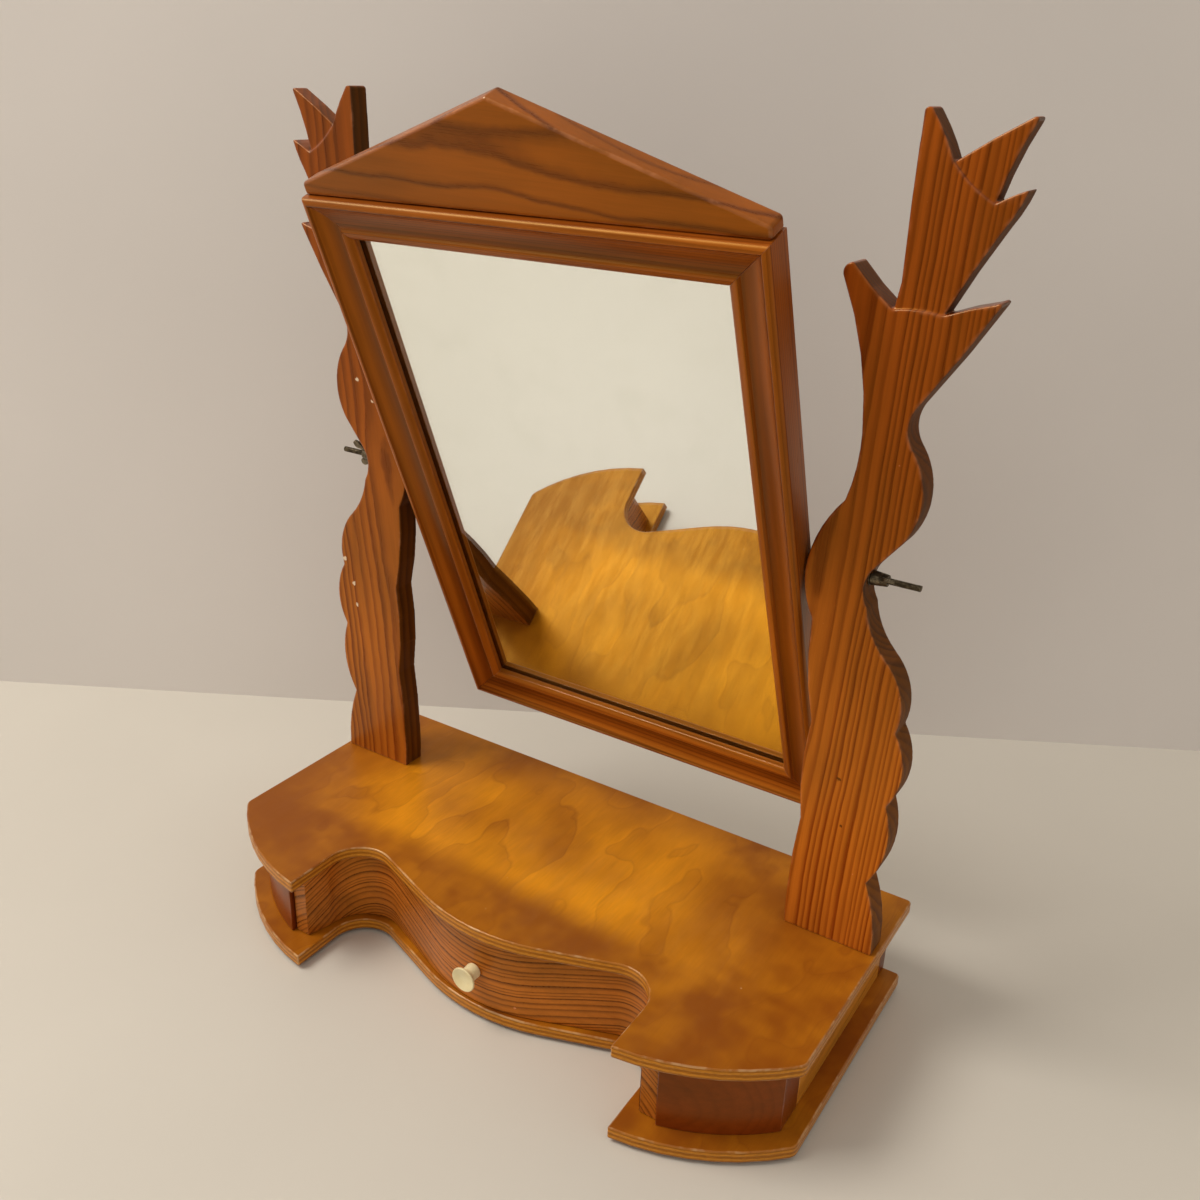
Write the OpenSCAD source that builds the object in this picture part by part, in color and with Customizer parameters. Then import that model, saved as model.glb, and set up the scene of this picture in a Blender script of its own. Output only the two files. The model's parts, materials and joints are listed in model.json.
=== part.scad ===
// Dressing-table mirror on a serpentine drawer base.
// A tilting, mitred frame hangs on two studs between two fretted posts.
// Millimetres. X runs across, Y runs to the back, Z runs up, and the feet stand on Z = 0.

/* [Base boards] */
// Thickness of the top and the bottom board
board_t = 9; // [6:0.5:12]
// Clear height between the two boards
bay_h = 56; // [42:1:80]
// Depth of the boards from the back edge to the tips of the horns
base_d = 234; // [222:1:250]
// Depth of the straight sides of the boards
side_d = 182; // [174:1:192]
// Board left outside each post's foot
board_margin = 3.4; // [2:0.1:12]
// Radius of the hollow beside each horn
valley_r = 25.3; // [20:0.1:28]
// Width of each horn at the straight side
horn_w = 102; // [96:0.5:106]
// How far the belly's crest stays behind the horn tips
belly_back = 35.5; // [30:0.5:42]
// How far the centre of the hollow stays behind the horn tips
valley_back = 38; // [34:0.5:42]
// Radius of the belly
belly_r = 145; // [120:1:155]
// Radius of the horns' front edge
horn_r = 170; // [150:1:220]
// Radius at the corner between a horn and a side
horn_corner_r = 8; // [3:0.5:10]
// Radius of the back corners
back_corner_r = 3; // [1:0.5:8]

/* [Carcass] */
// How far the carcass stands inside the boards' edges
carcass_inset = 12.5; // [8:0.5:18]
// Thickness of side walls, guides and back wall
wall_t = 12; // [8:0.5:16]
// Length of the solid end blocks
block_d = 68; // [50:1:90]
// Width of the end blocks
block_w = 66; // [62:0.5:68]
// Height of the feet
foot_h = 2.5; // [1:0.5:6]
// Diameter of the feet
foot_dia = 16; // [10:0.5:22]

/* [Drawer] */
// Thickness of the drawer's sides
drawer_side_t = 12.2; // [9:0.1:14]
// Thickness of the drawer's back
drawer_back_t = 10; // [7:0.5:14]
// Thickness of the drawer's bottom panel
drawer_bottom_t = 3; // [2:0.5:5]
// Depth of the groove that holds the bottom panel
groove_d = 5; // [3:0.5:6]
// Height of the groove above the drawer's lower edge
groove_up = 5; // [3:0.5:9]
// How far the ends of the drawer's sides stay behind the horn tips
drawer_back_off = 21; // [17:0.5:24]
// Least thickness of the drawer front, at its two hollows
front_min_t = 15; // [11:0.5:20]
// How far the drawer front stays behind the boards at the belly
front_setback = 2.5; // [1:0.5:4]
// How far it stays behind the boards in the hollows
valley_setback = 5.2; // [3:0.1:6]
// Radius of the belly of the drawer front
front_belly_r = 120; // [100:1:128]
// Clearance at each side of the drawer
drawer_side_gap = 1.2; // [0.4:0.1:2]
// Clearance above the drawer
drawer_top_gap = 0.9; // [0.5:0.1:2]
// Running clearance under the drawer and behind it
drawer_run_gap = 0.4; // [0.3:0.1:1]

/* [Knob] */
// Diameter of the knob's dished face
knob_dia = 18.4; // [14:0.2:24]
// Diameter of the knob's stem
knob_stem_dia = 8.6; // [7:0.2:11]
// How far the knob stands out
knob_h = 12.5; // [10:0.5:18]
// Diameter of the knob's screw
knob_screw_dia = 4; // [3:0.5:5]

/* [Posts] */
// Thickness of the posts
post_t = 18.6; // [15:0.2:24]
// Distance of the posts' middle plane from the back of the boards
post_back = 62.3; // [52:0.1:75]
// Height of the pivots above the top board
pivot_up = 257.5; // [250:0.5:300]
// Height of the finials above the pivots
crown_h = 255.5; // [240:0.5:290]
// Step between one tier of the finial and the next
tier_step = 1.5; // [0.5:0.1:2.5]

/* [Mirror frame] */
// Width of the frame
frame_w = 312.6; // [300:0.2:330]
// Height of the frame without its pediment
frame_h = 441; // [420:1:445]
// Width of the moulding
mould_w = 27.4; // [25:0.2:32]
// Thickness of the moulding
mould_t = 22; // [21.5:0.1:26]
// Depth from the moulding's crest to the glass
glass_down = 12; // [9:0.1:12.5]
// How far the rebate covers the glass
rebate_w = 7; // [5:0.5:9]
// Thickness of the glass
glass_t = 4; // [3:0.5:5]
// Thickness of the back panel
panel_t = 3; // [2:0.5:4]
// Clearance round the glass and the panel in the rebate
glass_gap = 0.5; // [0.3:0.1:1]
// Angle by which the frame leans forward at rest
tilt = 21.8; // [0:0.1:30]
// Height of the pivots above the frame's lower edge
pivot_along = 226.6; // [215:0.1:230]
// Distance of the pivots behind the moulding's crest
pivot_deep = 18; // [16:0.1:18.2]

/* [Pediment] */
// Rise of the pediment above the frame
pediment_h = 64; // [40:0.5:80]
// Height of the pediment's ends
pediment_end_h = 8.5; // [5:0.5:12]
// Thickness of the pediment
pediment_t = 15; // [12:0.5:15]
// How far the pediment's face stays behind the moulding's crest
pediment_back = 6; // [4:0.1:6.5]
// Radius of the pediment's upper corners and of its apex
pediment_r = 3; // [2:0.5:4.5]
// How far each end stays inside the frame's side
pediment_inset = 0.5; // [0.5:0.5:6]

/* [Pivot hardware] */
// Diameter of the threaded studs
stud_dia = 4; // [3:0.1:5]
// Depth of the studs in the frame
stud_in = 15; // [10:0.5:17]
// Length of stud that shows past the post
stud_out = 31; // [26:0.5:36]
// Diameter of the washers
washer_dia = 10; // [8:0.5:12]
// Thickness of the washers
washer_t = 0.8; // [0.8:0.1:2]
// Running clearance between the turning and the standing pieces
pivot_gap = 0.4; // [0.3:0.1:1]
// Length of the wing nut along the stud
nut_h = 10; // [7:0.5:12]
// Span across the wings
wing_span = 22; // [18:0.5:26]
// Thickness of the wings
wing_t = 2.4; // [1.6:0.1:3]
// Turn of the left wing nut at rest
left_wing_turn = 25; // [0:1:180]
// Turn of the right wing nut at rest
right_wing_turn = 67; // [0:1:180]

/* [Screws] */
// Diameter of the wood screws
screw_dia = 4; // [3:0.2:4.6]
// Diameter of their countersunk heads
screw_head_dia = 8; // [6.6:0.2:9]
// Length of the wood screws
screw_l = 32; // [24:1:40]
// Diameter of the panel pins
pin_dia = 1.4; // [1:0.1:1.6]
// Length of the panel pins
pin_l = 12; // [8:0.5:14]

/* [Hidden] */

pine = [0.62, 0.34, 0.12];
dark_pine = [0.45, 0.22, 0.08];
ply = [0.74, 0.49, 0.20];
bronze = [0.22, 0.18, 0.12];
cream = [0.88, 0.83, 0.68];

$fn = 64;
// Play of a screw or stud in its hole, on the radius
fit = 0.05;
// Extra length of a cut past the face it opens on
past = 1;
// Largest turn of an arc between two of its points
arc_step = 6;

// Heights
bay_z = foot_h + board_t;
top_under = bay_z + bay_h;
top_z = top_under + board_t;
pivot_z = top_z + pivot_up;

// The posts: their outline is drawn for these heights and stretched to the sizes above
drawn_pivot_up = 257.5;
drawn_crown_h = 255.5;
// Reach of a post's foot and the place of its seat for the washer, from its belly
foot_reach = 73.5;
seat_reach = 37.6;
post_x = frame_w / 2 + washer_t + pivot_gap;
post_y = -post_back;
seat_x = post_x + seat_reach;

// The boards
half_w = post_x + foot_reach + board_margin;
horn_x = half_w - horn_w;
valley_c = [horn_x - valley_r, valley_back - base_d];
belly_c = [0, belly_back - base_d + belly_r];
horn_tip = [horn_x, -base_d];
horn_end = [half_w, -side_d];
horn_c = circle_centre(horn_tip, horn_end, horn_r);

// The carcass
carcass_x = half_w - carcass_inset;
bay_x = carcass_x - block_w;
block_back = -base_d + block_d + carcass_inset;
guide_x = bay_x + wall_t;

// The drawer
drawer_x = bay_x - drawer_side_gap;
drawer_in_x = drawer_x - drawer_side_t;
drawer_front_y = drawer_back_off - base_d;
drawer_back_y = -wall_t - drawer_run_gap;
drawer_z = bay_z + drawer_run_gap;
drawer_top = top_under - drawer_top_gap;
drawer_h = drawer_top - drawer_z;
front_r = valley_r + valley_setback;
// Run of the drawer front from its hollow to the drawer's side
front_side_run = 4.9;
front_c = [drawer_in_x - front_side_run - front_r, valley_c[1]];
front_belly_c = [0, belly_c[1] - belly_r + front_setback + front_belly_r];
front_back_y = front_c[1] + front_r + front_min_t;
knob_y = front_belly_c[1] - front_belly_r;
knob_z = (drawer_z + drawer_top) / 2;
knob_screw_l = 20;
knob_screw_in = 7;

// The frame, in its own axes: the pivots lie on X, Y runs to the back and Z runs up
frame_x = frame_w / 2;
frame_bottom = -pivot_along;
frame_top = frame_h - pivot_along;
front_y = -pivot_deep;
glass_y = front_y + glass_down;
panel_y = glass_y + glass_t;
pin_y = panel_y + panel_t + pin_dia / 2;
sight_x = frame_x - mould_w;
rebate_x = sight_x + rebate_w;
// Radius of the moulding's rounded outer edge
crest_r = 3.5;

// Reach of the whole object in Y, for an origin under the middle of its box
back_reach = max(0, place_y(mould_t - pivot_deep, frame_bottom));
shift_y = (base_d - back_reach) / 2;

// Y of a point of the leaning frame
function place_y(y, z) = post_y + y * cos(tilt) - z * sin(tilt);

// Points on a circle from one angle to another
function arc(c, r, from, to) =
    let (n = max(2, ceil(abs(to - from) / arc_step)))
    [for (i = [0:n]) c + r * [cos(from + (to - from) * i / n), sin(from + (to - from) * i / n)]];

// Angle at which the line that passes between two circles leaves the first one
function leave_angle(c1, r1, c2, r2) =
    atan2(c2[1] - c1[1], c2[0] - c1[0]) - acos((r1 + r2) / norm(c2 - c1));

// Centre of a circle through two points, to the left of the way from the first to the second
function circle_centre(p, q, r) =
    let (d = q - p, h = sqrt(r * r - d * d / 4))
    (p + q) / 2 + h * [-d[1], d[0]] / norm(d);

// Points of an arc that starts at p, bulges by b to the right of the way to q and stops before q
function bow(p, q, b) =
    abs(b) < 0.01 ? [p] :
    let (
        d = q - p,
        c = norm(d),
        r = (c * c / 4 + b * b) / (2 * abs(b)),
        turn = asin(min(1, c / 2 / r)),
        n = max(2, ceil(2 * turn / arc_step)),
        side = b > 0 ? 1 : -1
    )
    [for (i = [0:n - 1])
        let (a = -turn + 2 * turn * i / n)
        (p + q) / 2 + r * sin(a) * d / c + side * (r * cos(a) - r + abs(b)) * [d[1], -d[0]] / c];

// An outline from its stations, each with x, y and the bulge of the way to the next one
function outline(s) =
    [for (i = [0:len(s) - 1])
        let (a = s[i], b = s[(i + 1) % len(s)])
        each bow([a[0], a[1]], [b[0], b[1]], a[2])];

// A round corner: the points of an arc of radius r that touches both ways at p
function round_corner(before, p, after, r) =
    let (
        u = (before - p) / norm(before - p),
        v = (after - p) / norm(after - p),
        half = acos(u * v) / 2,
        c = p + (u + v) / norm(u + v) * r / sin(half),
        t1 = p + u * r / tan(half) - c,
        t2 = p + v * r / tan(half) - c,
        from = atan2(t1[1], t1[0]),
        sweep = 180 - 2 * half
    )
    arc(c, r, from, from + sweep);

// The points of one half and, in the other order, the same points on the other side
function both_sides(half) =
    concat(half, [for (i = [len(half) - 1:-1:0]) [-half[i][0], half[i][1]]]);

// Places that repeat
foot_spots = [for (x = [-1, 1], y = [foot_dia - base_d + 32, -foot_dia / 2 - wall_t])
    [x * (carcass_x - foot_dia), y]];
block_screw_x = (bay_x + carcass_x) / 2;
base_screw_spots = [for (x = [-1, 1]) each [
    [x * (block_screw_x - 10), block_back - block_d * 0.4],
    [x * (block_screw_x + 10), block_back - block_d * 0.25],
    [x * (bay_x + wall_t / 2), (block_back - wall_t) / 2],
    [x * (carcass_x - wall_t / 2), (block_back - wall_t) / 2],
    [x * bay_x / 2, -wall_t / 2]
]];
post_screw_spots = [for (x = [-1, 1], d = [28, 46]) [x * (post_x + d), post_y]];
pin_side_z = [for (k = [-1, 1]) frame_bottom + frame_h / 2 + k * frame_h / 5];
pin_rail_x = [for (k = [-1, 1]) k * frame_w / 5];

// The outline of the boards
function board_half() =
    let (
        leave = leave_angle(belly_c, belly_r, valley_c, valley_r),
        horn_a = atan2(horn_tip[1] - horn_c[1], horn_tip[0] - horn_c[0]),
        horn_b = atan2(horn_end[1] - horn_c[1], horn_end[0] - horn_c[0]),
        horn = arc(horn_c, horn_r, horn_a, horn_b),
        near = horn[len(horn) - 2]
    )
    concat(
        arc(belly_c, belly_r, -90, leave),
        arc(valley_c, valley_r, leave + 180, 0),
        [for (i = [0:len(horn) - 2]) horn[i]],
        round_corner(near, horn_end, [half_w, -side_d / 2], horn_corner_r),
        round_corner([half_w, -side_d / 2], [half_w, 0], [0, 0], back_corner_r)
    );

// The outline of the drawer front between the drawer's sides
function front_half() =
    let (leave = leave_angle(front_belly_c, front_belly_r, front_c, front_r))
    concat(
        arc(front_belly_c, front_belly_r, -90, leave),
        arc(front_c, front_r, leave + 180, 0),
        [[drawer_in_x, drawer_front_y], [drawer_in_x, front_back_y]]
    );

// Right post, seen from the front. X from the belly outwards, Z from the foot.
// Each row holds x, z and the bulge of the way to the next row.
function post_tier(rows) =
    [for (r = rows)
        [r[0], r[1] < drawn_pivot_up ? r[1] * pivot_up / drawn_pivot_up :
            pivot_up + (r[1] - drawn_pivot_up) * crown_h / drawn_crown_h, r[2]]];

stem_outer = [
    [73.5, 0, 0], [73.5, 5, 2.5],
    [63.7, 54, 7], [69.2, 114, 7.4], [68.4, 165.5, 6.6],
    [56, 211, -2.6], [41, 241, -3.6], [41, 265, 0],
    [57, 285.5, 8], [56, 338, -4.6], [55, 364.5, 0.8]
];
lower_crown = [
    [90, 421.5, 1], [87, 422, 0.6], [61, 413.3, 1.2],
    [33.7, 413.3, -0.8], [9.3, 435.6, 2.4]
];
stem_inner = [
    [4, 428.3, -4.4], [24.9, 345, -1.8], [19.7, 303.7, 4.2],
    [0, 256, 2.1], [7.5, 226, 2.6], [14.5, 157, 2.8],
    [14.8, 85, 0.8], [11, 30, 0.6]
];
middle_crown = [
    [61, 405, 0], [61, 413.3, -0.6], [84.5, 458, 0.8],
    [94, 477.8, 0.5], [78.2, 470, -1.6], [55, 488.5, 0.8], [41.5, 512.2, 1.6],
    [36.6, 511.7, 0.5], [35.9, 427.5, 0], [33.7, 413.3, 0], [33.7, 405, 0]
];
outer_prong = [
    [60, 458, 0], [78.2, 458, 0], [78.2, 470, -1.2],
    [92.5, 509.4, 0.6], [90.5, 510.8, 0.6], [55, 488.5, 0]
];

// The moulding's section, from its outer back corner round its face to the rebate
function mould_section() =
    outline([
        [0, mould_t, 0], [0, crest_r, 0.293 * crest_r],
        [crest_r, 0, 0], [4.2, 0, 0], [4.8, 1.3, -1.35],
        [20, 6.6, 0], [20.8, 5.6, 0.2], [22.2, 4.9, 0.6],
        [mould_w, 7.8, 0], [mould_w, glass_down, 0],
        [mould_w - rebate_w, glass_down, 0], [mould_w - rebate_w, mould_t, 0]
    ]);

// Moves what is drawn from the back edge of the boards to the object's own origin
module placed() {
    translate([0, shift_y, 0]) children();
}

// Moves what is drawn in the frame's own axes to the leaning frame's place
module leaning() {
    placed() translate([0, post_y, pivot_z]) rotate([tilt, 0, 0]) children();
}

// Draws once for the right side, or mirrored for the left
module on_side(side) {
    mirror([side < 0 ? 1 : 0, 0, 0]) children();
}

// A cylinder along X from x = from, of length l
module along_x(from, l, d) {
    translate([from, 0, 0]) rotate([0, 90, 0]) cylinder(d = d, h = l);
}

module board(z) {
    translate([0, 0, z]) linear_extrude(board_t) polygon(both_sides(board_half()));
}

// A countersunk wood screw that points up, its head flush with z = 0
module wood_screw(l, d, head) {
    point_l = d * 1.5;
    rotate_extrude() polygon([
        [0, 0], [head / 2, 0], [head / 2, 0.4], [d / 2, 0.4 + (head - d) / 2],
        [d / 2, l - point_l], [0, l]
    ]);
}

// The hole that such a screw leaves
module screw_hole(l, d, head) {
    translate([0, 0, -past]) cylinder(d = head + 2 * fit, h = past + 0.4 + fit);
    translate([0, 0, 0.4 + fit]) cylinder(d1 = head + 2 * fit, d2 = d + 2 * fit, h = (head - d) / 2);
    cylinder(d = d + 2 * fit, h = l + fit);
}

module base_screw_holes() {
    for (p = base_screw_spots) translate([p[0], p[1], foot_h])
        screw_hole(screw_l, screw_dia, screw_head_dia);
}

module post_screw_holes() {
    for (p = post_screw_spots) translate([p[0], p[1], top_under])
        screw_hole(screw_l, screw_dia, screw_head_dia);
}

module top_board() {
    color(ply) placed() difference() {
        board(top_under);
        post_screw_holes();
    }
}

module bottom_board() {
    color(ply) placed() difference() {
        board(foot_h);
        base_screw_holes();
    }
}

module end_block(side) {
    color(dark_pine) placed() difference() {
        on_side(side) translate([0, 0, bay_z]) linear_extrude(bay_h) intersection() {
            translate(horn_c) circle(r = horn_r - carcass_inset, $fn = 180);
            translate([bay_x, -base_d]) square([block_w, block_back + base_d]);
        }
        base_screw_holes();
    }
}

module side_wall(side) {
    color(dark_pine) placed() difference() {
        on_side(side) translate([carcass_x - wall_t, block_back, bay_z])
            cube([wall_t, -block_back - wall_t, bay_h]);
        base_screw_holes();
    }
}

module drawer_guide(side) {
    color(pine) placed() difference() {
        on_side(side) translate([bay_x, block_back, bay_z])
            cube([wall_t, -block_back - wall_t, bay_h]);
        base_screw_holes();
    }
}

module back_wall() {
    color(dark_pine) placed() difference() {
        translate([-carcass_x, -wall_t, bay_z]) cube([2 * carcass_x, wall_t, bay_h]);
        base_screw_holes();
    }
}

module base_feet() {
    color(bronze) placed() for (p = foot_spots) translate(p)
        cylinder(d1 = foot_dia - foot_h, d2 = foot_dia, h = foot_h);
}

module base_screws() {
    color(bronze) placed() for (p = base_screw_spots) translate([p[0], p[1], foot_h])
        wood_screw(screw_l, screw_dia, screw_head_dia);
}

module post_screws() {
    color(bronze) placed() for (p = post_screw_spots) translate([p[0], p[1], top_under])
        wood_screw(screw_l, screw_dia, screw_head_dia);
}

// One tier of a post, its faces stepped back from the post's by s
module post_tier_plate(rows, s) {
    translate([post_x, post_y + post_t / 2 - s, top_z]) rotate([90, 0, 0])
        linear_extrude(post_t - 2 * s) polygon(outline(post_tier(rows)));
}

module post(side) {
    color(pine) placed() difference() {
        on_side(side) difference() {
            union() {
                post_tier_plate(concat(stem_outer, lower_crown, stem_inner, [[11.5, 0, 0]]), 0);
                post_tier_plate(middle_crown, tier_step);
                post_tier_plate(outer_prong, 2 * tier_step);
            }
            translate([0, post_y, pivot_z]) {
                along_x(post_x - past, seat_reach + 2 * past, stud_dia + 0.2);
                along_x(seat_x, seat_reach, washer_dia + 2);
            }
        }
        post_screw_holes();
    }
}

module outer_washer(side) {
    color(bronze) placed() on_side(side) translate([0, post_y, pivot_z]) difference() {
        along_x(seat_x, washer_t, washer_dia);
        along_x(seat_x - past, washer_t + 2 * past, stud_dia + 0.3);
    }
}

module drawer_front() {
    color(pine) placed() difference() {
        translate([0, 0, drawer_z]) linear_extrude(drawer_h) polygon(both_sides(front_half()));
        translate([0, front_back_y - groove_d, drawer_z + groove_up])
            bar_x(2 * drawer_in_x + 2 * past, groove_d + past, drawer_bottom_t + fit);
        translate([0, knob_y + knob_screw_l - knob_screw_in, knob_z]) rotate([-90, 0, 0])
            cylinder(d = 3 * knob_screw_dia, h = base_d);
        translate([0, knob_y - past, knob_z]) rotate([-90, 0, 0])
            cylinder(d = knob_screw_dia + 0.4, h = knob_screw_l + past);
    }
}

// A bar centred in X, from y = 0 and z = 0
module bar_x(w, d, h) {
    translate([-w / 2, 0, 0]) cube([w, d, h]);
}

module drawer_side(side) {
    color(pine) placed() on_side(side) difference() {
        translate([drawer_in_x, drawer_front_y, drawer_z])
            cube([drawer_side_t, drawer_back_y - drawer_front_y, drawer_h]);
        translate([drawer_in_x - past, front_back_y - groove_d, drawer_z + groove_up])
            cube([groove_d + past, drawer_back_y - front_back_y + groove_d - drawer_back_t / 2,
                drawer_bottom_t + fit]);
    }
}

module drawer_back() {
    color(pine) placed() difference() {
        translate([0, drawer_back_y - drawer_back_t, drawer_z])
            bar_x(2 * drawer_in_x, drawer_back_t, drawer_h);
        translate([0, drawer_back_y - drawer_back_t - past, drawer_z + groove_up])
            bar_x(2 * drawer_in_x + 2 * past, drawer_back_t / 2 + past, drawer_bottom_t + fit);
    }
}

module drawer_bottom() {
    from_y = front_back_y - groove_d + fit;
    to_y = drawer_back_y - drawer_back_t / 2 - fit;
    color(ply) placed() translate([0, from_y, drawer_z + groove_up])
        bar_x(2 * (drawer_in_x + groove_d - fit), to_y - from_y, drawer_bottom_t);
}

module drawer_knob() {
    face_r = knob_dia / 2;
    stem_r = knob_stem_dia / 2;
    rim = 2.6;
    dish = 1.4;
    section = outline([
        [0, 0, 0], [stem_r + 1.4, 0, 0], [stem_r + 1.4, 0.8, -0.9],
        [stem_r, knob_h * 0.42, -0.8], [face_r - 0.4, knob_h - rim, 0.5],
        [face_r - 0.6, knob_h - 0.3, 0.3], [face_r - 2, knob_h, -0.4],
        [0, knob_h - dish, 0]
    ]);
    color(cream) placed() translate([0, knob_y, knob_z]) rotate([90, 0, 0]) difference() {
        rotate_extrude() polygon(section);
        translate([0, 0, -past]) cylinder(d = knob_screw_dia + 2 * fit, h = knob_screw_in + fit + past);
    }
}

module knob_screw() {
    head_dia = knob_screw_dia * 2;
    head_h = knob_screw_dia * 0.6;
    from_y = knob_y + knob_screw_l - knob_screw_in;
    color(bronze) placed() translate([0, from_y, knob_z]) rotate([90, 0, 0]) {
        cylinder(d = knob_screw_dia, h = knob_screw_l);
        difference() {
            translate([0, 0, -head_h]) cylinder(d = head_dia, h = head_h);
            translate([-head_dia, -0.5, -head_h - past]) cube([2 * head_dia, 1, past + head_h / 2]);
        }
    }
}

// A length of moulding that stands on end at the frame's left side, in the frame's axes
module stile_bar() {
    translate([-frame_x, front_y, frame_bottom]) linear_extrude(frame_h) polygon(mould_section());
}

// A length of moulding that lies along the frame's lower edge, in the frame's axes
module rail_bar() {
    translate([frame_x, front_y, frame_bottom]) rotate([0, -90, 0])
        linear_extrude(frame_w) polygon(mould_section());
}

// Keeps what lies inside a flat shape, given in x and z of the frame's axes
module kept_within(points) {
    intersection() {
        children();
        translate([0, 2 * mould_t, 0]) rotate([90, 0, 0]) linear_extrude(4 * mould_t) polygon(points);
    }
}

module stile(side) {
    color(pine) leaning() difference() {
        on_side(-side) kept_within([
            [-frame_x, frame_bottom], [-frame_x + mould_w, frame_bottom + mould_w],
            [-frame_x + mould_w, frame_top - mould_w], [-frame_x, frame_top]
        ]) stile_bar();
        along_x(side * frame_x - stud_in, 2 * stud_in, stud_dia + 2 * fit);
        pin_holes();
    }
}

module rail(top) {
    color(pine) leaning() difference() {
        translate([0, 0, top ? frame_bottom + frame_top : 0]) mirror([0, 0, top ? 1 : 0])
            kept_within([
                [-frame_x, frame_bottom], [frame_x, frame_bottom],
                [frame_x - mould_w, frame_bottom + mould_w],
                [-frame_x + mould_w, frame_bottom + mould_w]
            ]) rail_bar();
        pin_holes();
    }
}

// Its slopes touch the circles at its ends and at its apex, which have one radius
module pediment() {
    end_x = frame_x - pediment_inset;
    end_c = [end_x - pediment_r, frame_top + pediment_end_h - pediment_r];
    apex_c = [0, frame_top + pediment_h - pediment_r];
    slope = atan2(apex_c[1] - end_c[1], end_c[0]);
    half = concat(
        [[end_x, frame_top]],
        arc(end_c, pediment_r, 0, 90 - slope),
        arc(apex_c, pediment_r, 90 - slope, 90)
    );
    color(pine) leaning() translate([0, front_y + pediment_back + pediment_t, 0]) rotate([90, 0, 0])
        linear_extrude(pediment_t) polygon(both_sides(half));
}

// A sheet that fills the rebate, from y = from, of thickness t
module rebate_sheet(from, t) {
    x = rebate_x - glass_gap;
    low = frame_bottom + frame_x - rebate_x;
    translate([-x, from, low + glass_gap])
        cube([2 * x, t, frame_h - 2 * (frame_x - rebate_x) - 2 * glass_gap]);
}

module mirror_glass() {
    color([0.75, 0.8, 0.82]) leaning() rebate_sheet(glass_y, glass_t);
}

module back_panel() {
    color(ply) leaning() rebate_sheet(panel_y, panel_t);
}

// Half of each pin is in the wood and half lies on the back panel
module pin_set(d) {
    low = frame_bottom + frame_x - rebate_x;
    for (z = pin_side_z, s = [-1, 1]) translate([s * rebate_x - pin_l / 2, pin_y, z])
        rotate([0, 90, 0]) cylinder(d = d, h = pin_l);
    for (x = pin_rail_x, z = [low, frame_bottom + frame_top - low])
        translate([x, pin_y, z - pin_l / 2]) cylinder(d = d, h = pin_l);
}

module pin_holes() {
    pin_set(pin_dia + 2 * fit);
}

module panel_pins() {
    color(bronze) leaning() pin_set(pin_dia);
}

module pivot_stud(side) {
    from = frame_x - stud_in + fit;
    color(bronze) leaning() on_side(side) along_x(from, seat_x + stud_out - from, stud_dia);
}

module spacer_washer(side) {
    color(bronze) leaning() on_side(side) difference() {
        along_x(frame_x, washer_t, washer_dia);
        along_x(frame_x - past, washer_t + 2 * past, stud_dia + 0.3);
    }
}

// Wing nut: a coned hub and two rounded wings
module wing_nut(side) {
    from = seat_x + washer_t + pivot_gap;
    hub_r = 4.6;
    tip_r = 3.6;
    wing = outline([
        [0, 3, 0], [hub_r, 3, -1.2], [wing_span / 2 - 4, 8, 0.8],
        [wing_span / 2, 12.5, 1.6], [wing_span / 2 - 2.6, nut_h + 6, 1],
        [wing_span / 2 - 6, nut_h + 2.6, -0.8], [tip_r - 0.6, nut_h - 0.4, 0], [0, nut_h - 0.4, 0]
    ]);
    turn = side < 0 ? left_wing_turn : right_wing_turn;
    color(bronze) placed() on_side(side) translate([from, post_y, pivot_z]) rotate([0, 90, 0]) rotate(turn)
        difference() {
            union() {
                cylinder(r1 = hub_r, r2 = tip_r, h = nut_h);
                for (s = [0, 180]) rotate([0, 0, s]) translate([0, wing_t / 2, 0]) rotate([90, 0, 0])
                    linear_extrude(wing_t) polygon(wing);
            }
            translate([0, 0, -past]) cylinder(d = stud_dia + 2 * fit, h = nut_h + 2 * past);
        }
}

top_board();
bottom_board();
end_block(-1);  // left_end_block
end_block(1);  // right_end_block
side_wall(-1);  // left_side_wall
side_wall(1);  // right_side_wall
drawer_guide(-1);  // left_drawer_guide
drawer_guide(1);  // right_drawer_guide
back_wall();
base_feet();
base_screws();
post(-1);  // left_post
post(1);  // right_post
post_screws();
outer_washer(-1);  // left_outer_washer
outer_washer(1);  // right_outer_washer
drawer_front();
drawer_side(-1);  // drawer_left_side
drawer_side(1);  // drawer_right_side
drawer_back();
drawer_bottom();
drawer_knob();
knob_screw();
rail(true);  // frame_top_rail
rail(false);  // frame_bottom_rail
stile(-1);  // frame_left_stile
stile(1);  // frame_right_stile
pediment();
mirror_glass();
back_panel();
panel_pins();
pivot_stud(-1);  // left_pivot_stud
pivot_stud(1);  // right_pivot_stud
spacer_washer(-1);  // left_spacer_washer
spacer_washer(1);  // right_spacer_washer
wing_nut(-1);  // left_wing_nut
wing_nut(1);  // right_wing_nut
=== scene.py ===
"""A tilting dressing-table mirror on a serpentine drawer base, dressed in wood, glass and browned steel.

The file is laid out as an add-on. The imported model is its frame: every piece takes its place from it.
"""

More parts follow.
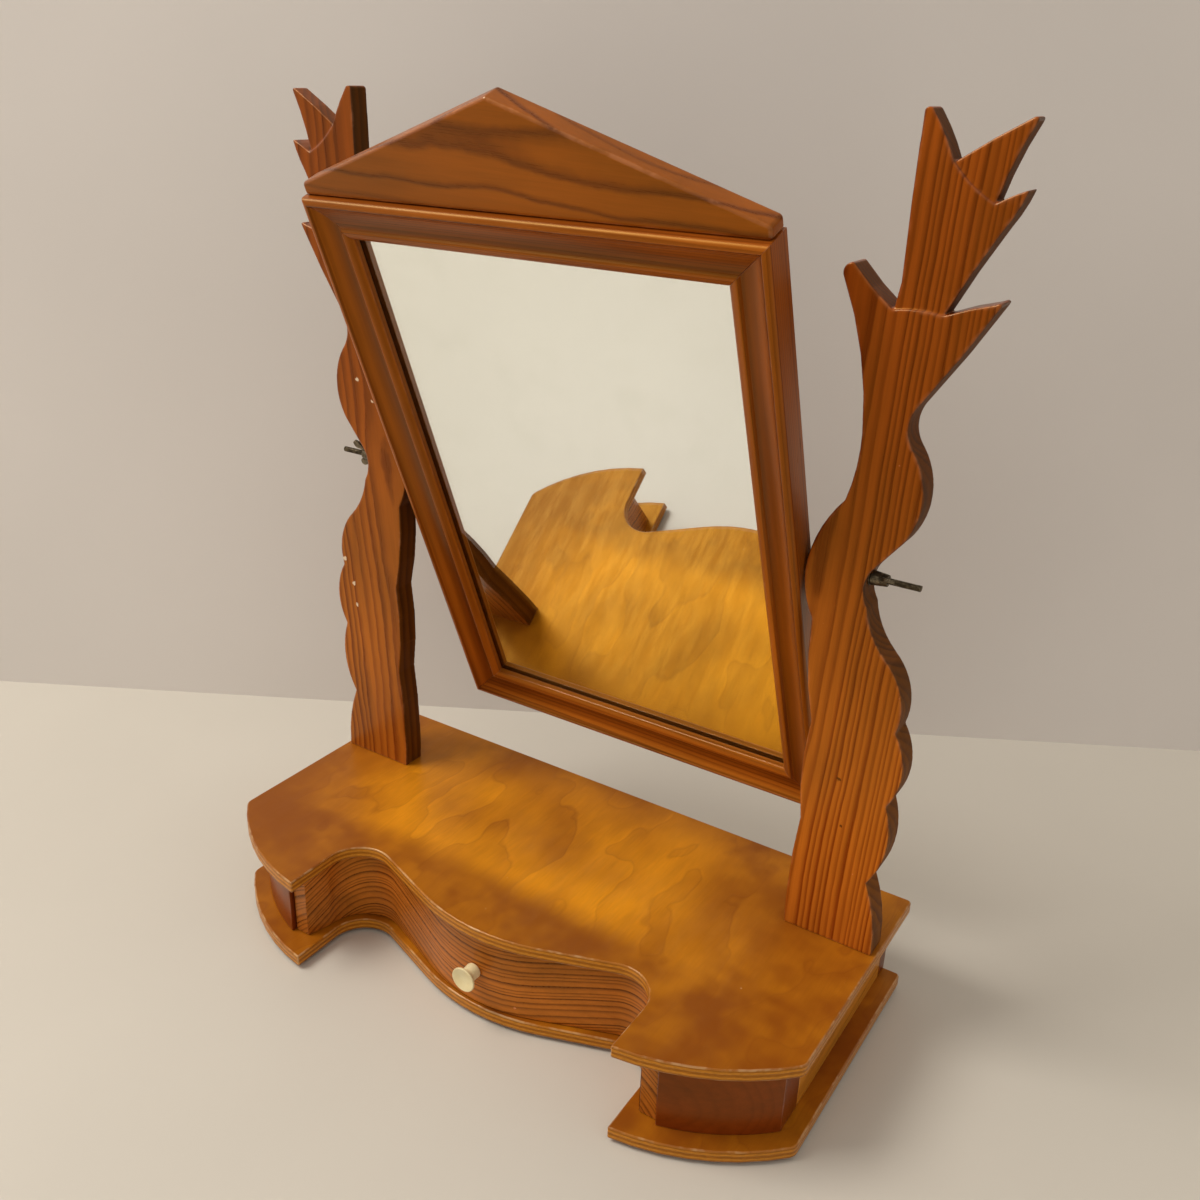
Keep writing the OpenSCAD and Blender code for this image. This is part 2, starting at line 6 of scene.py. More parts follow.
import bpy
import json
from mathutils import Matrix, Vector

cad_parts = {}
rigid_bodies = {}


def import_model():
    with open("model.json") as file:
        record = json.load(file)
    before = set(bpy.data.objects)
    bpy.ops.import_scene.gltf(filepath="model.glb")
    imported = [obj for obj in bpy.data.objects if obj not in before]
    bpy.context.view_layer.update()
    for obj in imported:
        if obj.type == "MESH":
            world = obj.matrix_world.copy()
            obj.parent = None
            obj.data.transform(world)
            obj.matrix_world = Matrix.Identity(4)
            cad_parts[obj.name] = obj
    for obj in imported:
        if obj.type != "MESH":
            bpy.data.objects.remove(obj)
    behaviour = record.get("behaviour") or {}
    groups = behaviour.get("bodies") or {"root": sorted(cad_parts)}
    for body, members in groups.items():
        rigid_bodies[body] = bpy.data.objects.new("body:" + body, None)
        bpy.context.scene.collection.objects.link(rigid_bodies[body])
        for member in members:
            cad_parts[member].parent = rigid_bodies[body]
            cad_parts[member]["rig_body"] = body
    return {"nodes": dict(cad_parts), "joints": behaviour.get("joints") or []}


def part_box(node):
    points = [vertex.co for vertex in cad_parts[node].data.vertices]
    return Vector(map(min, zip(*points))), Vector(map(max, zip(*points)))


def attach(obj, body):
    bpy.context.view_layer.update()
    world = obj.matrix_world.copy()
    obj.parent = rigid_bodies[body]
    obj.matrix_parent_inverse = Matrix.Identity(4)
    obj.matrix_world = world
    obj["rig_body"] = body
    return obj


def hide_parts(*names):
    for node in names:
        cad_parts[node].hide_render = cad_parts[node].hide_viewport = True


bl_info = {
    "name": "Dressing-Table Mirror",
    "version": (1, 0, 0),
    "blender": (4, 5, 0),
    "location": "3D View > Sidebar > Mirror",
    "description": "Builds a tilting dressing-table mirror with fretted posts and a serpentine drawer base",
    "category": "Object",
}

import json
import math
import bmesh
import bpy
from bpy.props import FloatProperty, FloatVectorProperty, IntProperty, PointerProperty
from mathutils import Euler, Matrix, Quaternion, Vector
from mathutils.bvhtree import BVHTree
from mathutils.kdtree import KDTree

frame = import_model()

MM = 0.001
# Edges that turn by more than this are arrises and get rounded
ARRIS = math.radians(25)
# Share of the room beside an arris that its rounding may take
ROOM_SHARE = 0.42
# Name of the attribute that is 1 on a rounded arris and 0 elsewhere
WORN = "arris"
# Points that are nearer than this are one point
WELD = 0.001 * MM
# Long edges inside a flat face are parted from this length on, and into this many parts
LONG_SEAM = 60 * MM
SEAM_PARTS = 16
# Points of a CAD mesh that are nearer than this are one point, and faces that meet at less than this are one face
CAD_WELD = 0.004 * MM
CAD_FLAT = math.radians(0.4)
# Faces of a rounded piece that meet at less than this lie in one plane
LEVEL = math.radians(0.05)
# Faces that meet at less than this are shaded as one
SMOOTH = math.radians(35)


def joint(name):
    """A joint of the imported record."""
    return next(j for j in frame["joints"] if j["name"] == name)


PIVOT = Vector(joint("mirror_tilt")["pos_m"])


def frame_lean():
    """Angle by which the glass leans forward at rest, from the way its front face looks."""
    mesh = frame["nodes"]["mirror_glass"].data
    face = max(mesh.polygons, key=lambda p: p.area if p.normal.y < 0 else 0)
    return math.atan2(-face.normal.z, -face.normal.y)


LEAN = frame_lean()


def leaning(x, along, behind):
    """A place in the leaning frame's own axes, from the pivot: to the right, up the glass and behind it."""
    return PIVOT + Matrix.Rotation(LEAN, 3, "X") @ Vector((x, behind, along))


def colour_prop(name, description, default):
    """A colour in the settings, in linear values."""
    return FloatVectorProperty(name=name, description=description, subtype="COLOR", size=3, min=0, max=1,
                               default=default)


def length_prop(name, description, default):
    """A length in the settings, in metres."""
    return FloatProperty(name=name, description=description, subtype="DISTANCE", unit="LENGTH", min=0,
                         precision=5, default=default)


def angle_prop(name, description, degrees):
    """An angle in the settings, given in degrees."""
    return FloatProperty(name=name, description=description, subtype="ANGLE", default=math.radians(degrees))


def place_prop(name, description, default):
    """A place in the settings, in metres."""
    return FloatVectorProperty(name=name, description=description, subtype="TRANSLATION", unit="LENGTH", size=3,
                               default=default)


class MirrorTimberSettings(bpy.types.PropertyGroup):
    """Colours and grain of the wooden pieces"""

    post_light: colour_prop("Post, early wood", "Pale part of each ring in the posts", (0.455, 0.120, 0.010))
    post_dark: colour_prop("Post, late wood", "Dark part of each ring in the posts", (0.175, 0.024, 0.002))
    drawer_light: colour_prop("Drawer, early wood", "Pale part of each ring in the drawer", (0.42, 0.120, 0.014))
    drawer_dark: colour_prop("Drawer, late wood", "Dark part of each ring in the drawer", (0.075, 0.010, 0.001))
    frame_light: colour_prop("Frame, early wood", "Pale part of each ring in the moulding", (0.40, 0.108, 0.009))
    frame_dark: colour_prop("Frame, late wood", "Dark part of each ring in the moulding", (0.12, 0.018, 0.002))
    gable_light: colour_prop("Pediment, early wood", "Ground of the pediment", (0.35, 0.092, 0.005))
    gable_dark: colour_prop("Pediment, late wood", "Dark figure of the pediment", (0.155, 0.030, 0.003))
    block_light: colour_prop("Carcass, early wood", "Ground of the stained carcass", (0.17, 0.028, 0.003))
    block_dark: colour_prop("Carcass, late wood", "Figure of the stained carcass", (0.09, 0.012, 0.001))
    plain_light: colour_prop("Plain pine, early wood", "Unstained inner pieces", (0.58, 0.36, 0.17))
    plain_dark: colour_prop("Plain pine, late wood", "Rings of the inner pieces", (0.40, 0.19, 0.065))
    # The boards keep birch light in a painted pool of light in their middle and go towards birch dark as painted
    # shade at their ends and front
    birch_light: colour_prop("Birch, light", "Middle of the boards", (0.82, 0.305, 0.010))
    birch_dark: colour_prop("Birch, dark", "Clouds and ends of the boards", (0.225, 0.053, 0.005))
    ply_light: colour_prop("Ply edge, light", "Plies that run along an edge", (0.54, 0.20, 0.020))
    ply_dark: colour_prop("Ply edge, dark", "Plies that end at an edge", (0.33, 0.105, 0.008))
    board_brown: colour_prop("Hardboard", "The panel behind the glass", (0.24, 0.135, 0.06))
    ring: length_prop("Ring width", "Mean width of a year ring", 2.6 * MM)


class MirrorShapeSettings(bpy.types.PropertyGroup):
    """How the arrises are rounded and the hardware is cut"""

    post_cell: length_prop("Post cells", "Size of the even faces that the posts are sanded from", 0.6 * MM)
    post_passes: IntProperty(name="Post sanding", description="Passes of smoothing on the posts", default=9, min=1)
    board_round: length_prop("Board arrises", "Rounding of the boards", 1.3 * MM)
    drawer_round: length_prop("Drawer arrises", "Rounding of the drawer", 0.8 * MM)
    frame_round: length_prop("Moulding arrises", "Rounding of the moulding", 0.5 * MM)
    gable_round: length_prop("Pediment arrises", "Rounding of the pediment", 2.2 * MM)
    metal_round: length_prop("Metal arrises", "Rounding of the hardware", 0.3 * MM)
    thread_pitch: length_prop("Thread pitch", "Advance of the studs' thread in one turn", 0.7 * MM)
    thread_depth: length_prop("Thread depth", "Depth of the studs' thread", 0.38 * MM)
    silver: length_prop("Silvering", "Thickness of the layer behind the glass", 0.1 * MM)
    rounding_steps: IntProperty(name="Rounding steps", description="Faces across a rounding", default=4, min=1)


class MirrorStageSettings(bpy.types.PropertyGroup):
    """Camera, lamps and backdrop"""

    camera_at: place_prop("Camera", "Where the camera stands", (0.40054, -0.58408, 0.59802))
    azimuth: angle_prop("Azimuth", "Way round the object", 32.52)
    elevation: angle_prop("Elevation", "Angle of view downwards", 23.49)
    roll: angle_prop("Roll", "Turn about the line of sight", 1.62)
    lens: FloatProperty(name="Lens", description="Focal length in millimetres on a 36 mm sensor", default=35.24)
    shift: FloatVectorProperty(name="Shift", description="How far the picture is off the sensor's middle", size=2,
                               precision=5, default=(0.00643, -0.00858))
    floor: colour_prop("Floor", "Colour of the table", (0.61, 0.562, 0.480))
    wall: colour_prop("Wall", "Colour of the wall behind", (0.71, 0.655, 0.60))
    sky: colour_prop("Surroundings", "Light from all sides", (1.0, 0.965, 0.92))
    sky_strength: FloatProperty(name="Fill", description="Strength of the light from all sides", default=0.64)
    key_power: FloatProperty(name="Key", description="Power of the large lamp", unit="POWER", default=55.0)
    key_at: place_prop("Key's place", "Where the large lamp hangs", (-1.45, -1.05, 2.4))
    key_size: length_prop("Key's size", "Side of the large lamp", 1.3)


def timber():
    return bpy.context.scene.mirror_timber


def shape():
    return bpy.context.scene.mirror_shape


def only(piece):
    """Makes one piece the only selected and the active one."""
    bpy.ops.object.select_all(action="DESELECT")
    piece.select_set(True)
    bpy.context.view_layer.objects.active = piece


def apply_modifier(piece, modifier):
    only(piece)
    bpy.ops.object.modifier_apply(modifier=modifier.name)


def face_room(tree, edge, face):
    """How far a face runs from one of its edges before the solid ends or a step rises."""
    a, b = edge.verts
    middle = (a.co + b.co) / 2
    inward = face.normal.cross(b.co - a.co).normalized()
    if inward.dot(face.calc_center_median() - middle) < 0:
        inward = -inward
    skin = 0.02 * MM
    room = 1.0
    for side in (-1, 1):
        hit = tree.ray_cast(middle + (inward + side * face.normal) * skin, inward, room)
        if hit[0] is not None:
            room = min(room, hit[3])
    return room


def weigh_arrises(piece, radius):
    """Gives every outer arris a bevel weight, less where its faces are narrow."""
    bm = bmesh.new()
    bm.from_mesh(piece.data)
    bm.normal_update()
    weight = bm.edges.layers.float.new("bevel_weight_edge")
    tree = BVHTree.FromBMesh(bm)
    for edge in bm.edges:
        if len(edge.link_faces) != 2 or edge.calc_face_angle_signed(0.0) < ARRIS:
            continue
        room = min(face_room(tree, edge, face) for face in edge.link_faces)
        edge[weight] = min(1.0, ROOM_SHARE * room / radius)
    bm.to_mesh(piece.data)
    bm.free()


def mark_worn(piece):
    """Turns the second material of the rounded faces into an attribute."""
    mesh = piece.data
    values = [1.0] * len(mesh.vertices)
    for face in mesh.polygons:
        if face.material_index == 0:
            for v in face.vertices:
                values[v] = 0.0
        face.material_index = 0
    layer = mesh.attributes.new(WORN, "FLOAT", "POINT")
    layer.data.foreach_set("value", values)


def part_long_seams(piece):
    """Parts the long edges inside flat faces, so that no long slivers hang on them."""
    bm = bmesh.new()
    bm.from_mesh(piece.data)
    seams = [e for e in bm.edges if len(e.link_faces) == 2 and e.calc_length() > LONG_SEAM
             and e.calc_face_angle(1.0) < LEVEL]
    bmesh.ops.subdivide_edges(bm, edges=seams, cuts=SEAM_PARTS - 1)
    bm.to_mesh(piece.data)
    bm.free()


def finish_shading(piece):
    """Smooth shading that keeps flat faces flat."""
    only(piece)
    bpy.ops.object.shade_smooth_by_angle(angle=SMOOTH)
    normals = piece.modifiers.new("Flat faces", "WEIGHTED_NORMAL")
    normals.keep_sharp = True
    apply_modifier(piece, normals)
    even = piece.modifiers.new("Even triangles", "TRIANGULATE")
    even.min_vertices = 5
    even.keep_custom_normals = True
    apply_modifier(piece, even)


def merged_copy(node, name):
    """A copy of a CAD node's mesh as clean faces, in its place."""
    mesh = frame["nodes"][node].data.copy()
    mesh.materials.clear()
    piece = bpy.data.objects.new(name, mesh)
    bpy.context.scene.collection.objects.link(piece)
    only(piece)
    if mesh.has_custom_normals:
        bpy.ops.mesh.customdata_custom_splitnormals_clear()
    bpy.ops.object.mode_set(mode="EDIT")
    bpy.ops.mesh.select_all(action="SELECT")
    bpy.ops.mesh.remove_doubles(threshold=CAD_WELD)
    bpy.ops.mesh.dissolve_limited(angle_limit=CAD_FLAT)
    bpy.ops.object.mode_set(mode="OBJECT")
    return piece


def rounded_copy(node, radius):
    """A node's shape with its arrises rounded."""
    piece = merged_copy(node, node + "_shown")
    weigh_arrises(piece, radius)
    bevel = piece.modifiers.new("Rounding", "BEVEL")
    bevel.limit_method = "WEIGHT"
    bevel.width = radius
    bevel.segments = shape().rounding_steps
    bevel.use_clamp_overlap = False
    bevel.miter_outer = "MITER_ARC"
    piece.data.materials.append(None)
    piece.data.materials.append(None)
    bevel.material = 1
    apply_modifier(piece, bevel)
    part_long_seams(piece)
    mark_worn(piece)
    piece.data.materials.clear()
    finish_shading(piece)
    return piece


def mark_near_arrises(piece, node_copy, reach):
    """Gives each vertex 1 on a former arris, falling to 0 at the given reach from it."""
    spots = []
    bm = bmesh.new()
    bm.from_mesh(node_copy)
    for edge in bm.edges:
        if len(edge.link_faces) == 2 and edge.calc_face_angle_signed(0.0) > ARRIS:
            a, b = (v.co for v in edge.verts)
            steps = 1 + int((b - a).length / MM)
            spots += [a.lerp(b, i / steps) for i in range(steps + 1)]
    bm.free()
    tree = KDTree(len(spots))
    for i, spot in enumerate(spots):
        tree.insert(spot, i)
    tree.balance()
    layer = piece.data.attributes.new(WORN, "FLOAT", "POINT")
    values = [max(0.0, 1 - tree.find(v.co)[2] / reach) for v in piece.data.vertices]
    layer.data.foreach_set("value", values)


def sanded_copy(node, cell, passes, share):
    """A node's shape as if sanded by hand: even faces, smoothed, then as many as are needed."""
    piece = merged_copy(node, node + "_shown")
    sharp = piece.data.copy()
    even = piece.modifiers.new("Even faces", "REMESH")
    even.mode = "VOXEL"
    even.voxel_size = cell
    apply_modifier(piece, even)
    sanding = piece.modifiers.new("Sanding", "SMOOTH")
    sanding.factor = 0.5
    sanding.iterations = passes
    apply_modifier(piece, sanding)
    fewer = piece.modifiers.new("Fewer faces", "DECIMATE")
    fewer.ratio = share
    apply_modifier(piece, fewer)
    mark_near_arrises(piece, sharp, reach=2.2 * MM)
    bpy.data.meshes.remove(sharp)
    only(piece)
    bpy.ops.object.shade_smooth()
    return piece


def settle(piece, node, material):
    """Rides a finished piece on its node's body in the node's place, with its finish."""
    piece.data.materials.clear()
    piece.data.materials.append(material)
    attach(piece, frame["nodes"][node]["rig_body"])
    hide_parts(node)


def dress(node, radius, look):
    """A node's rounded shape, in its place, with its look."""
    settle(rounded_copy(node, radius), node, look)


class Tree:
    """Adds nodes to one node tree and joins them."""

    def __init__(self, tree):
        self.tree = tree

    def add(self, kind, sockets=None, **settings):
        node = self.tree.nodes.new(kind)
        for key, value in settings.items():
            setattr(node, key, value)
        for key, value in (sockets or {}).items():
            self.feed(node.inputs[key], value)
        return node

    def feed(self, socket, value):
        """Links an output to a socket or sets its value. Colours may lack their alpha."""
        if isinstance(value, bpy.types.NodeSocket):
            self.tree.links.new(value, socket)
        elif socket.type == "RGBA":
            socket.default_value = (*value[:3], 1.0)
        else:
            socket.default_value = value

    def math(self, operation, a, b=0.0, clamp=False):
        return self.add("ShaderNodeMath", {0: a, 1: b}, operation=operation, use_clamp=clamp).outputs[0]

    def times(self, a, b, clamp=False):
        return self.math("MULTIPLY", a, b, clamp)

    def plus(self, a, b, clamp=False):
        return self.math("ADD", a, b, clamp)

    def vector(self, operation, a, b=(0, 0, 0)):
        return self.add("ShaderNodeVectorMath", {0: a, 1: b}, operation=operation).outputs[0]

    def stretched(self, vector, factors):
        return self.vector("MULTIPLY", vector, factors)

    def part(self, vector, axis):
        return self.add("ShaderNodeSeparateXYZ", {0: vector}).outputs[axis]

    def length(self, vector):
        return self.add("ShaderNodeVectorMath", {0: vector}, operation="LENGTH").outputs["Value"]

    def scaled(self, vector, factor):
        node = self.add("ShaderNodeVectorMath", {0: vector, "Scale": factor}, operation="SCALE")
        return node.outputs[0]

    def ramp(self, value, low, high, to_low=0.0, to_high=1.0):
        """A smooth step from to_low to to_high between low and high."""
        sockets = {0: value, 1: low, 2: high, 3: to_low, 4: to_high}
        return self.add("ShaderNodeMapRange", sockets, interpolation_type="SMOOTHSTEP").outputs[0]

    def mix(self, factor, a, b, blend="MIX"):
        sockets = {0: factor, 6: a, 7: b}
        return self.add("ShaderNodeMix", sockets, data_type="RGBA", blend_type=blend).outputs[2]

    def noise(self, vector, scale, detail=2.0, roughness=0.5, output=0):
        sockets = {"Vector": vector, "Scale": scale, "Detail": detail, "Roughness": roughness}
        return self.add("ShaderNodeTexNoise", sockets).outputs[output]


def new_group(name, inputs, outputs):
    """A shader group. Returns its Tree, what it is given by name, and the sockets that take its results."""
    group = bpy.data.node_groups.new(name, "ShaderNodeTree")
    kinds = {"V": "NodeSocketVector", "C": "NodeSocketColor", "F": "NodeSocketFloat"}
    for label, kind, default in inputs:
        socket = group.interface.new_socket(label, in_out="INPUT", socket_type=kinds[kind])
        socket.default_value = default
    for label, kind in outputs:
        group.interface.new_socket(label, in_out="OUTPUT", socket_type=kinds[kind])
    tree = Tree(group)
    source = tree.add("NodeGroupInput")
    result = tree.add("NodeGroupOutput")
    return tree, source.outputs, result.inputs


def group_node(tree, name, sockets):
    node = tree.add("ShaderNodeGroup")
    node.node_tree = bpy.data.node_groups[name]
    for key, value in sockets.items():
        tree.feed(node.inputs[key], value)
    return node.outputs


def make_pine_group():
    """Pine cut from a trunk whose pith is the Z axis: year rings, fibres and their relief."""
    tree, given, result = new_group(
        "Pine",
        [("Vector", "V", (0, 0, 0)), ("Light", "C", (0.4, 0.2, 0.1, 1)), ("Dark", "C", (0.1, 0.05, 0.02, 1)),
         ("Ring", "F", 0.003), ("Wander", "F", 0.003), ("Late share", "F", 0.5), ("Contrast", "F", 1.0),
         ("Drift", "F", 2.4), ("Wave", "V", (1, 1, 0.24))],
        [("Color", "C"), ("Roughness", "F"), ("Height", "F")])
    place = given["Vector"]
    long_way = tree.stretched(place, given["Wave"])
    slow = tree.vector("SUBTRACT", tree.noise(long_way, 15, 1.5, output=1), (0.5, 0.5, 0.5))
    quick = tree.vector("SUBTRACT", tree.noise(long_way, 85, 2.0, output=1), (0.5, 0.5, 0.5))
    bent = tree.vector("ADD", place, tree.scaled(slow, given["Wander"]))
    bent = tree.vector("ADD", bent, tree.scaled(quick, tree.times(given["Wander"], 0.16)))
    rings = tree.math("DIVIDE", tree.length(tree.stretched(bent, (1, 1, 0))), given["Ring"])
    drift = tree.add("ShaderNodeTexNoise", {"W": tree.times(rings, 0.27), "Scale": 1.0, "Detail": 1.0},
                     noise_dimensions="1D")
    rings = tree.plus(rings, tree.times(drift.outputs[0], given["Drift"]))
    # Share of a ring at which its late wood is darkest
    peak = 0.86
    part = tree.math("FRACT", rings)
    year = tree.add("ShaderNodeTexWhiteNoise", {"W": tree.math("FLOOR", rings)}, noise_dimensions="1D").outputs[0]
    late = tree.ramp(part, tree.math("SUBTRACT", peak, given["Late share"]), peak)
    late = tree.times(late, tree.ramp(part, 0.84, 1.0, 1.0, 0.0))
    late = tree.times(late, tree.ramp(year, 0.0, 1.0, 0.6, 1.0))
    late = tree.times(late, given["Contrast"], clamp=True)
    fibre = tree.noise(tree.stretched(place, (1, 1, 0.025)), 1100, 2.0, 0.6)
    strand = tree.noise(tree.stretched(place, (1, 1, 0.05)), 240, 2.0, 0.6)
    cloud = tree.noise(tree.stretched(place, (1, 1, 0.3)), 22, 2.0)
    colour = tree.mix(late, given["Light"], given["Dark"])
    shade = tree.plus(tree.ramp(fibre, 0.2, 0.8, -0.07, 0.07), tree.ramp(strand, 0.25, 0.75, -0.09, 0.09))
    shade = tree.plus(shade, tree.ramp(cloud, 0.3, 0.7, 0.84, 1.14))
    tree.feed(result["Color"], tree.scaled(colour, shade))
    rough = tree.plus(tree.ramp(fibre, 0.2, 0.8, 0.29, 0.37), tree.times(late, -0.05))
    tree.feed(result["Roughness"], rough)
    relief = tree.plus(tree.times(late, 0.5), tree.times(strand, 0.45))
    tree.feed(result["Height"], relief)


def make_birch_group():
    """Rotary-cut birch veneer with its grain along Y: stepped contours, clouds and fine fibres."""
    tree, given, result = new_group(
        "Birch veneer",
        [("Vector", "V", (0, 0, 0)), ("Light", "C", (0.6, 0.3, 0.1, 1)), ("Dark", "C", (0.3, 0.1, 0.03, 1))],
        [("Color", "C"), ("Height", "F")])
    flat = tree.vector("ADD", tree.stretched(given["Vector"], (1, 1, 0)), (0, 0, 0.137))
    long_way = tree.stretched(flat, (1, 0.55, 1))
    # Contours of a slow field are where the knife left one year's wood for the next
    contours = 9
    part = tree.math("FRACT", tree.times(tree.noise(long_way, 9, 3.5, 0.5), contours))
    line = tree.ramp(part, 0.0, 0.10, 1.0, 0.0)
    cloud = tree.noise(long_way, 26, 3.0, 0.55)
    broad = tree.noise(flat, 7.5, 2.0)
    flame = tree.noise(tree.stretched(flat, (1, 0.16, 1)), 120, 3.0, 0.6)
    fibre = tree.noise(tree.stretched(flat, (1, 0.04, 1)), 1300, 2.0, 0.65)
    dark = tree.plus(tree.ramp(cloud, 0.3, 0.72, 0.0, 0.22), tree.times(part, 0.17))
    dark = tree.plus(dark, tree.ramp(broad, 0.35, 0.68, 0.0, 0.42))
    dark = tree.plus(dark, tree.times(line, 0.26), clamp=True)
    colour = tree.mix(dark, given["Light"], given["Dark"])
    shade = tree.plus(tree.ramp(fibre, 0.2, 0.8, 0.92, 1.08), tree.ramp(flame, 0.3, 0.7, -0.05, 0.05))
    tree.feed(result["Color"], tree.scaled(colour, shade))
    tree.feed(result["Height"], tree.plus(fibre, tree.times(line, 0.6)))


def make_ply_group():
    """Edge of plywood: plies that run along it and plies that end at it, with thin glue lines."""
    tree, given, result = new_group(
        "Ply edge",
        [("Vector", "V", (0, 0, 0)), ("Under", "F", 0.0), ("Thickness", "F", 0.009), ("Plies", "F", 7.0),
         ("Light", "C", (0.6, 0.3, 0.1, 1)), ("Dark", "C", (0.3, 0.1, 0.03, 1))],
        [("Color", "C"), ("Height", "F")])
    waver = tree.noise(tree.stretched(given["Vector"], (1, 1, 0)), 18, 1.0)
    height = tree.math("SUBTRACT", tree.part(given["Vector"], "Z"), given["Under"])
    height = tree.math("DIVIDE", height, given["Thickness"])
    height = tree.plus(height, tree.ramp(waver, 0.3, 0.7, -0.012, 0.012))
    plies = tree.times(height, given["Plies"])
    across = tree.math("PINGPONG", tree.plus(plies, 0.5), 1.0)
    ends = tree.ramp(across, 0.42, 0.58)
    glue = tree.ramp(tree.math("ABSOLUTE", tree.math("SUBTRACT", across, 0.5)), 0.0, 0.10, 1.0, 0.0)
    fibre = tree.noise(tree.stretched(given["Vector"], (1, 1, 4)), 260, 3.0, 0.7)
    colour = tree.mix(ends, given["Light"], given["Dark"])
    colour = tree.mix(tree.times(glue, 0.45), colour, given["Dark"])
    tree.feed(result["Color"], tree.scaled(colour, tree.ramp(fibre, 0.25, 0.75, 0.78, 1.18)))
    tree.feed(result["Height"], tree.math("SUBTRACT", 1.0, tree.math("MAXIMUM", ends, glue)))


def flecks(tree, place, scale, largest):
    """1 on few small spots and 0 elsewhere. The largest spot is given as a share of a cell."""
    cells = tree.add("ShaderNodeTexVoronoi", {"Vector": place, "Scale": scale}).outputs
    chance = tree.add("ShaderNodeTexWhiteNoise", {"Vector": cells["Position"]}, noise_dimensions="3D").outputs[0]
    return tree.math("LESS_THAN", cells["Distance"], tree.ramp(chance, 0.93, 1.0, 0.0, largest))


def make_scuff_group():
    """Small chips and rubs in the varnish."""
    tree, given, result = new_group(
        "Scuffs",
        [("Vector", "V", (0, 0, 0)), ("Worn", "F", 0.0), ("Amount", "F", 0.5)],
        [("Chips", "F"), ("Rub", "F")])
    torn = tree.noise(given["Vector"], 900, 2.0, output=1)
    moved = tree.vector("ADD", given["Vector"], tree.scaled(torn, 1.4 * MM))
    chips = tree.times(flecks(tree, moved, 42.0, 0.05), given["Amount"])
    specks = tree.times(flecks(tree, moved, 120.0, 0.055), given["Amount"])
    chips = tree.math("MAXIMUM", chips, tree.times(specks, 0.8))
    near = tree.noise(given["Vector"], 60, 3.0, 0.65)
    edge = tree.times(given["Worn"], tree.ramp(near, 0.46, 0.62))
    tree.feed(result["Chips"], chips)
    tree.feed(result["Rub"], tree.times(edge, given["Amount"], clamp=True))


# Roughness that a chip in the varnish adds and that the side faces add
CHIP_ROUGH = 0.3
SIDE_ROUGH = 0.4
# Share of its brightness that painted shade takes from the side faces
SIDE_SHADE = 0.68
# How much of the pale wood shows where an arris is rubbed
RUB_SHOWS = 0.35
# Coat on a rounded arris
ARRIS_COAT = 0.6
# Colour of the varnish's gloss
AMBER = (1.0, 0.55, 0.04, 1.0)


def start_material(name):
    """A new material with its Tree, its shader node and places in the object."""
    material = bpy.data.materials.new(name)
    material.use_nodes = True
    tree = Tree(material.node_tree)
    shader = next(n for n in material.node_tree.nodes if n.type == "BSDF_PRINCIPLED")
    return material, tree, shader, tree.add("ShaderNodeTexCoord").outputs["Object"]


def cover(tree, shader, colour, rough, relief, depth, strength=1.0):
    """Gives a shader its colour, its roughness and a fine relief of the given depth."""
    tree.feed(shader.inputs["Base Color"], colour)
    tree.feed(shader.inputs["Roughness"], rough)
    sockets = {"Height": relief, "Distance": depth, "Strength": strength}
    tree.feed(shader.inputs["Normal"], tree.add("ShaderNodeBump", sockets).outputs["Normal"])


def scuffed(tree, place, colour, amount, pale):
    """A colour with its arrises rubbed pale and a few chips, and where the chips are."""
    worn = tree.add("ShaderNodeAttribute", attribute_name=WORN).outputs["Fac"]
    marks = group_node(tree, "Scuffs", {"Vector": place, "Worn": worn, "Amount": amount})
    colour = tree.mix(tree.times(marks["Rub"], RUB_SHOWS), colour, pale)
    return tree.mix(marks["Chips"], colour, pale), marks["Chips"]


def varnish(tree, shader, coat):
    """Amber varnish: its gloss takes the colour of the stain, and the rounded arrises carry more of it."""
    worn = tree.add("ShaderNodeAttribute", attribute_name=WORN).outputs["Fac"]
    tree.feed(shader.inputs["Coat Weight"], tree.ramp(worn, 0.3, 1.0, coat, ARRIS_COAT))
    shader.inputs["Coat Roughness"].default_value = 0.2
    shader.inputs["Specular IOR Level"].default_value = 0.55
    shader.inputs["Specular Tint"].default_value = AMBER


def painted_shade_to_top(tree, place, colour, strength):
    """Painted shade: the colour gets darker and redder towards the top, where less light falls."""
    shaded_colour = tree.mix(1.0, colour, (0.60, 0.43, 0.45), "MULTIPLY")
    return tree.mix(tree.ramp(tree.part(place, "Z"), 0.15, 0.45, 0.0, strength), colour, shaded_colour)


def looks_along(tree, axis):
    """How much a face looks along an axis, either way."""
    normal = tree.add("ShaderNodeTexCoord").outputs["Normal"]
    return tree.math("ABSOLUTE", tree.part(normal, axis))


def marked(tree, place, colour, marks):
    """Small single marks at their places, each with its radius and colour."""
    torn = tree.scaled(tree.vector("SUBTRACT", tree.noise(place, 500, 2.0, output=1), (0.5, 0.5, 0.5)), 3 * MM)
    for centre, radius, tint in marks:
        away = tree.vector("SUBTRACT", tree.vector("ADD", place, torn), centre)
        spot = tree.ramp(tree.length(away), 0.7 * radius, radius, 0.85, 0.0)
        colour = tree.mix(spot, colour, tint)
    return colour


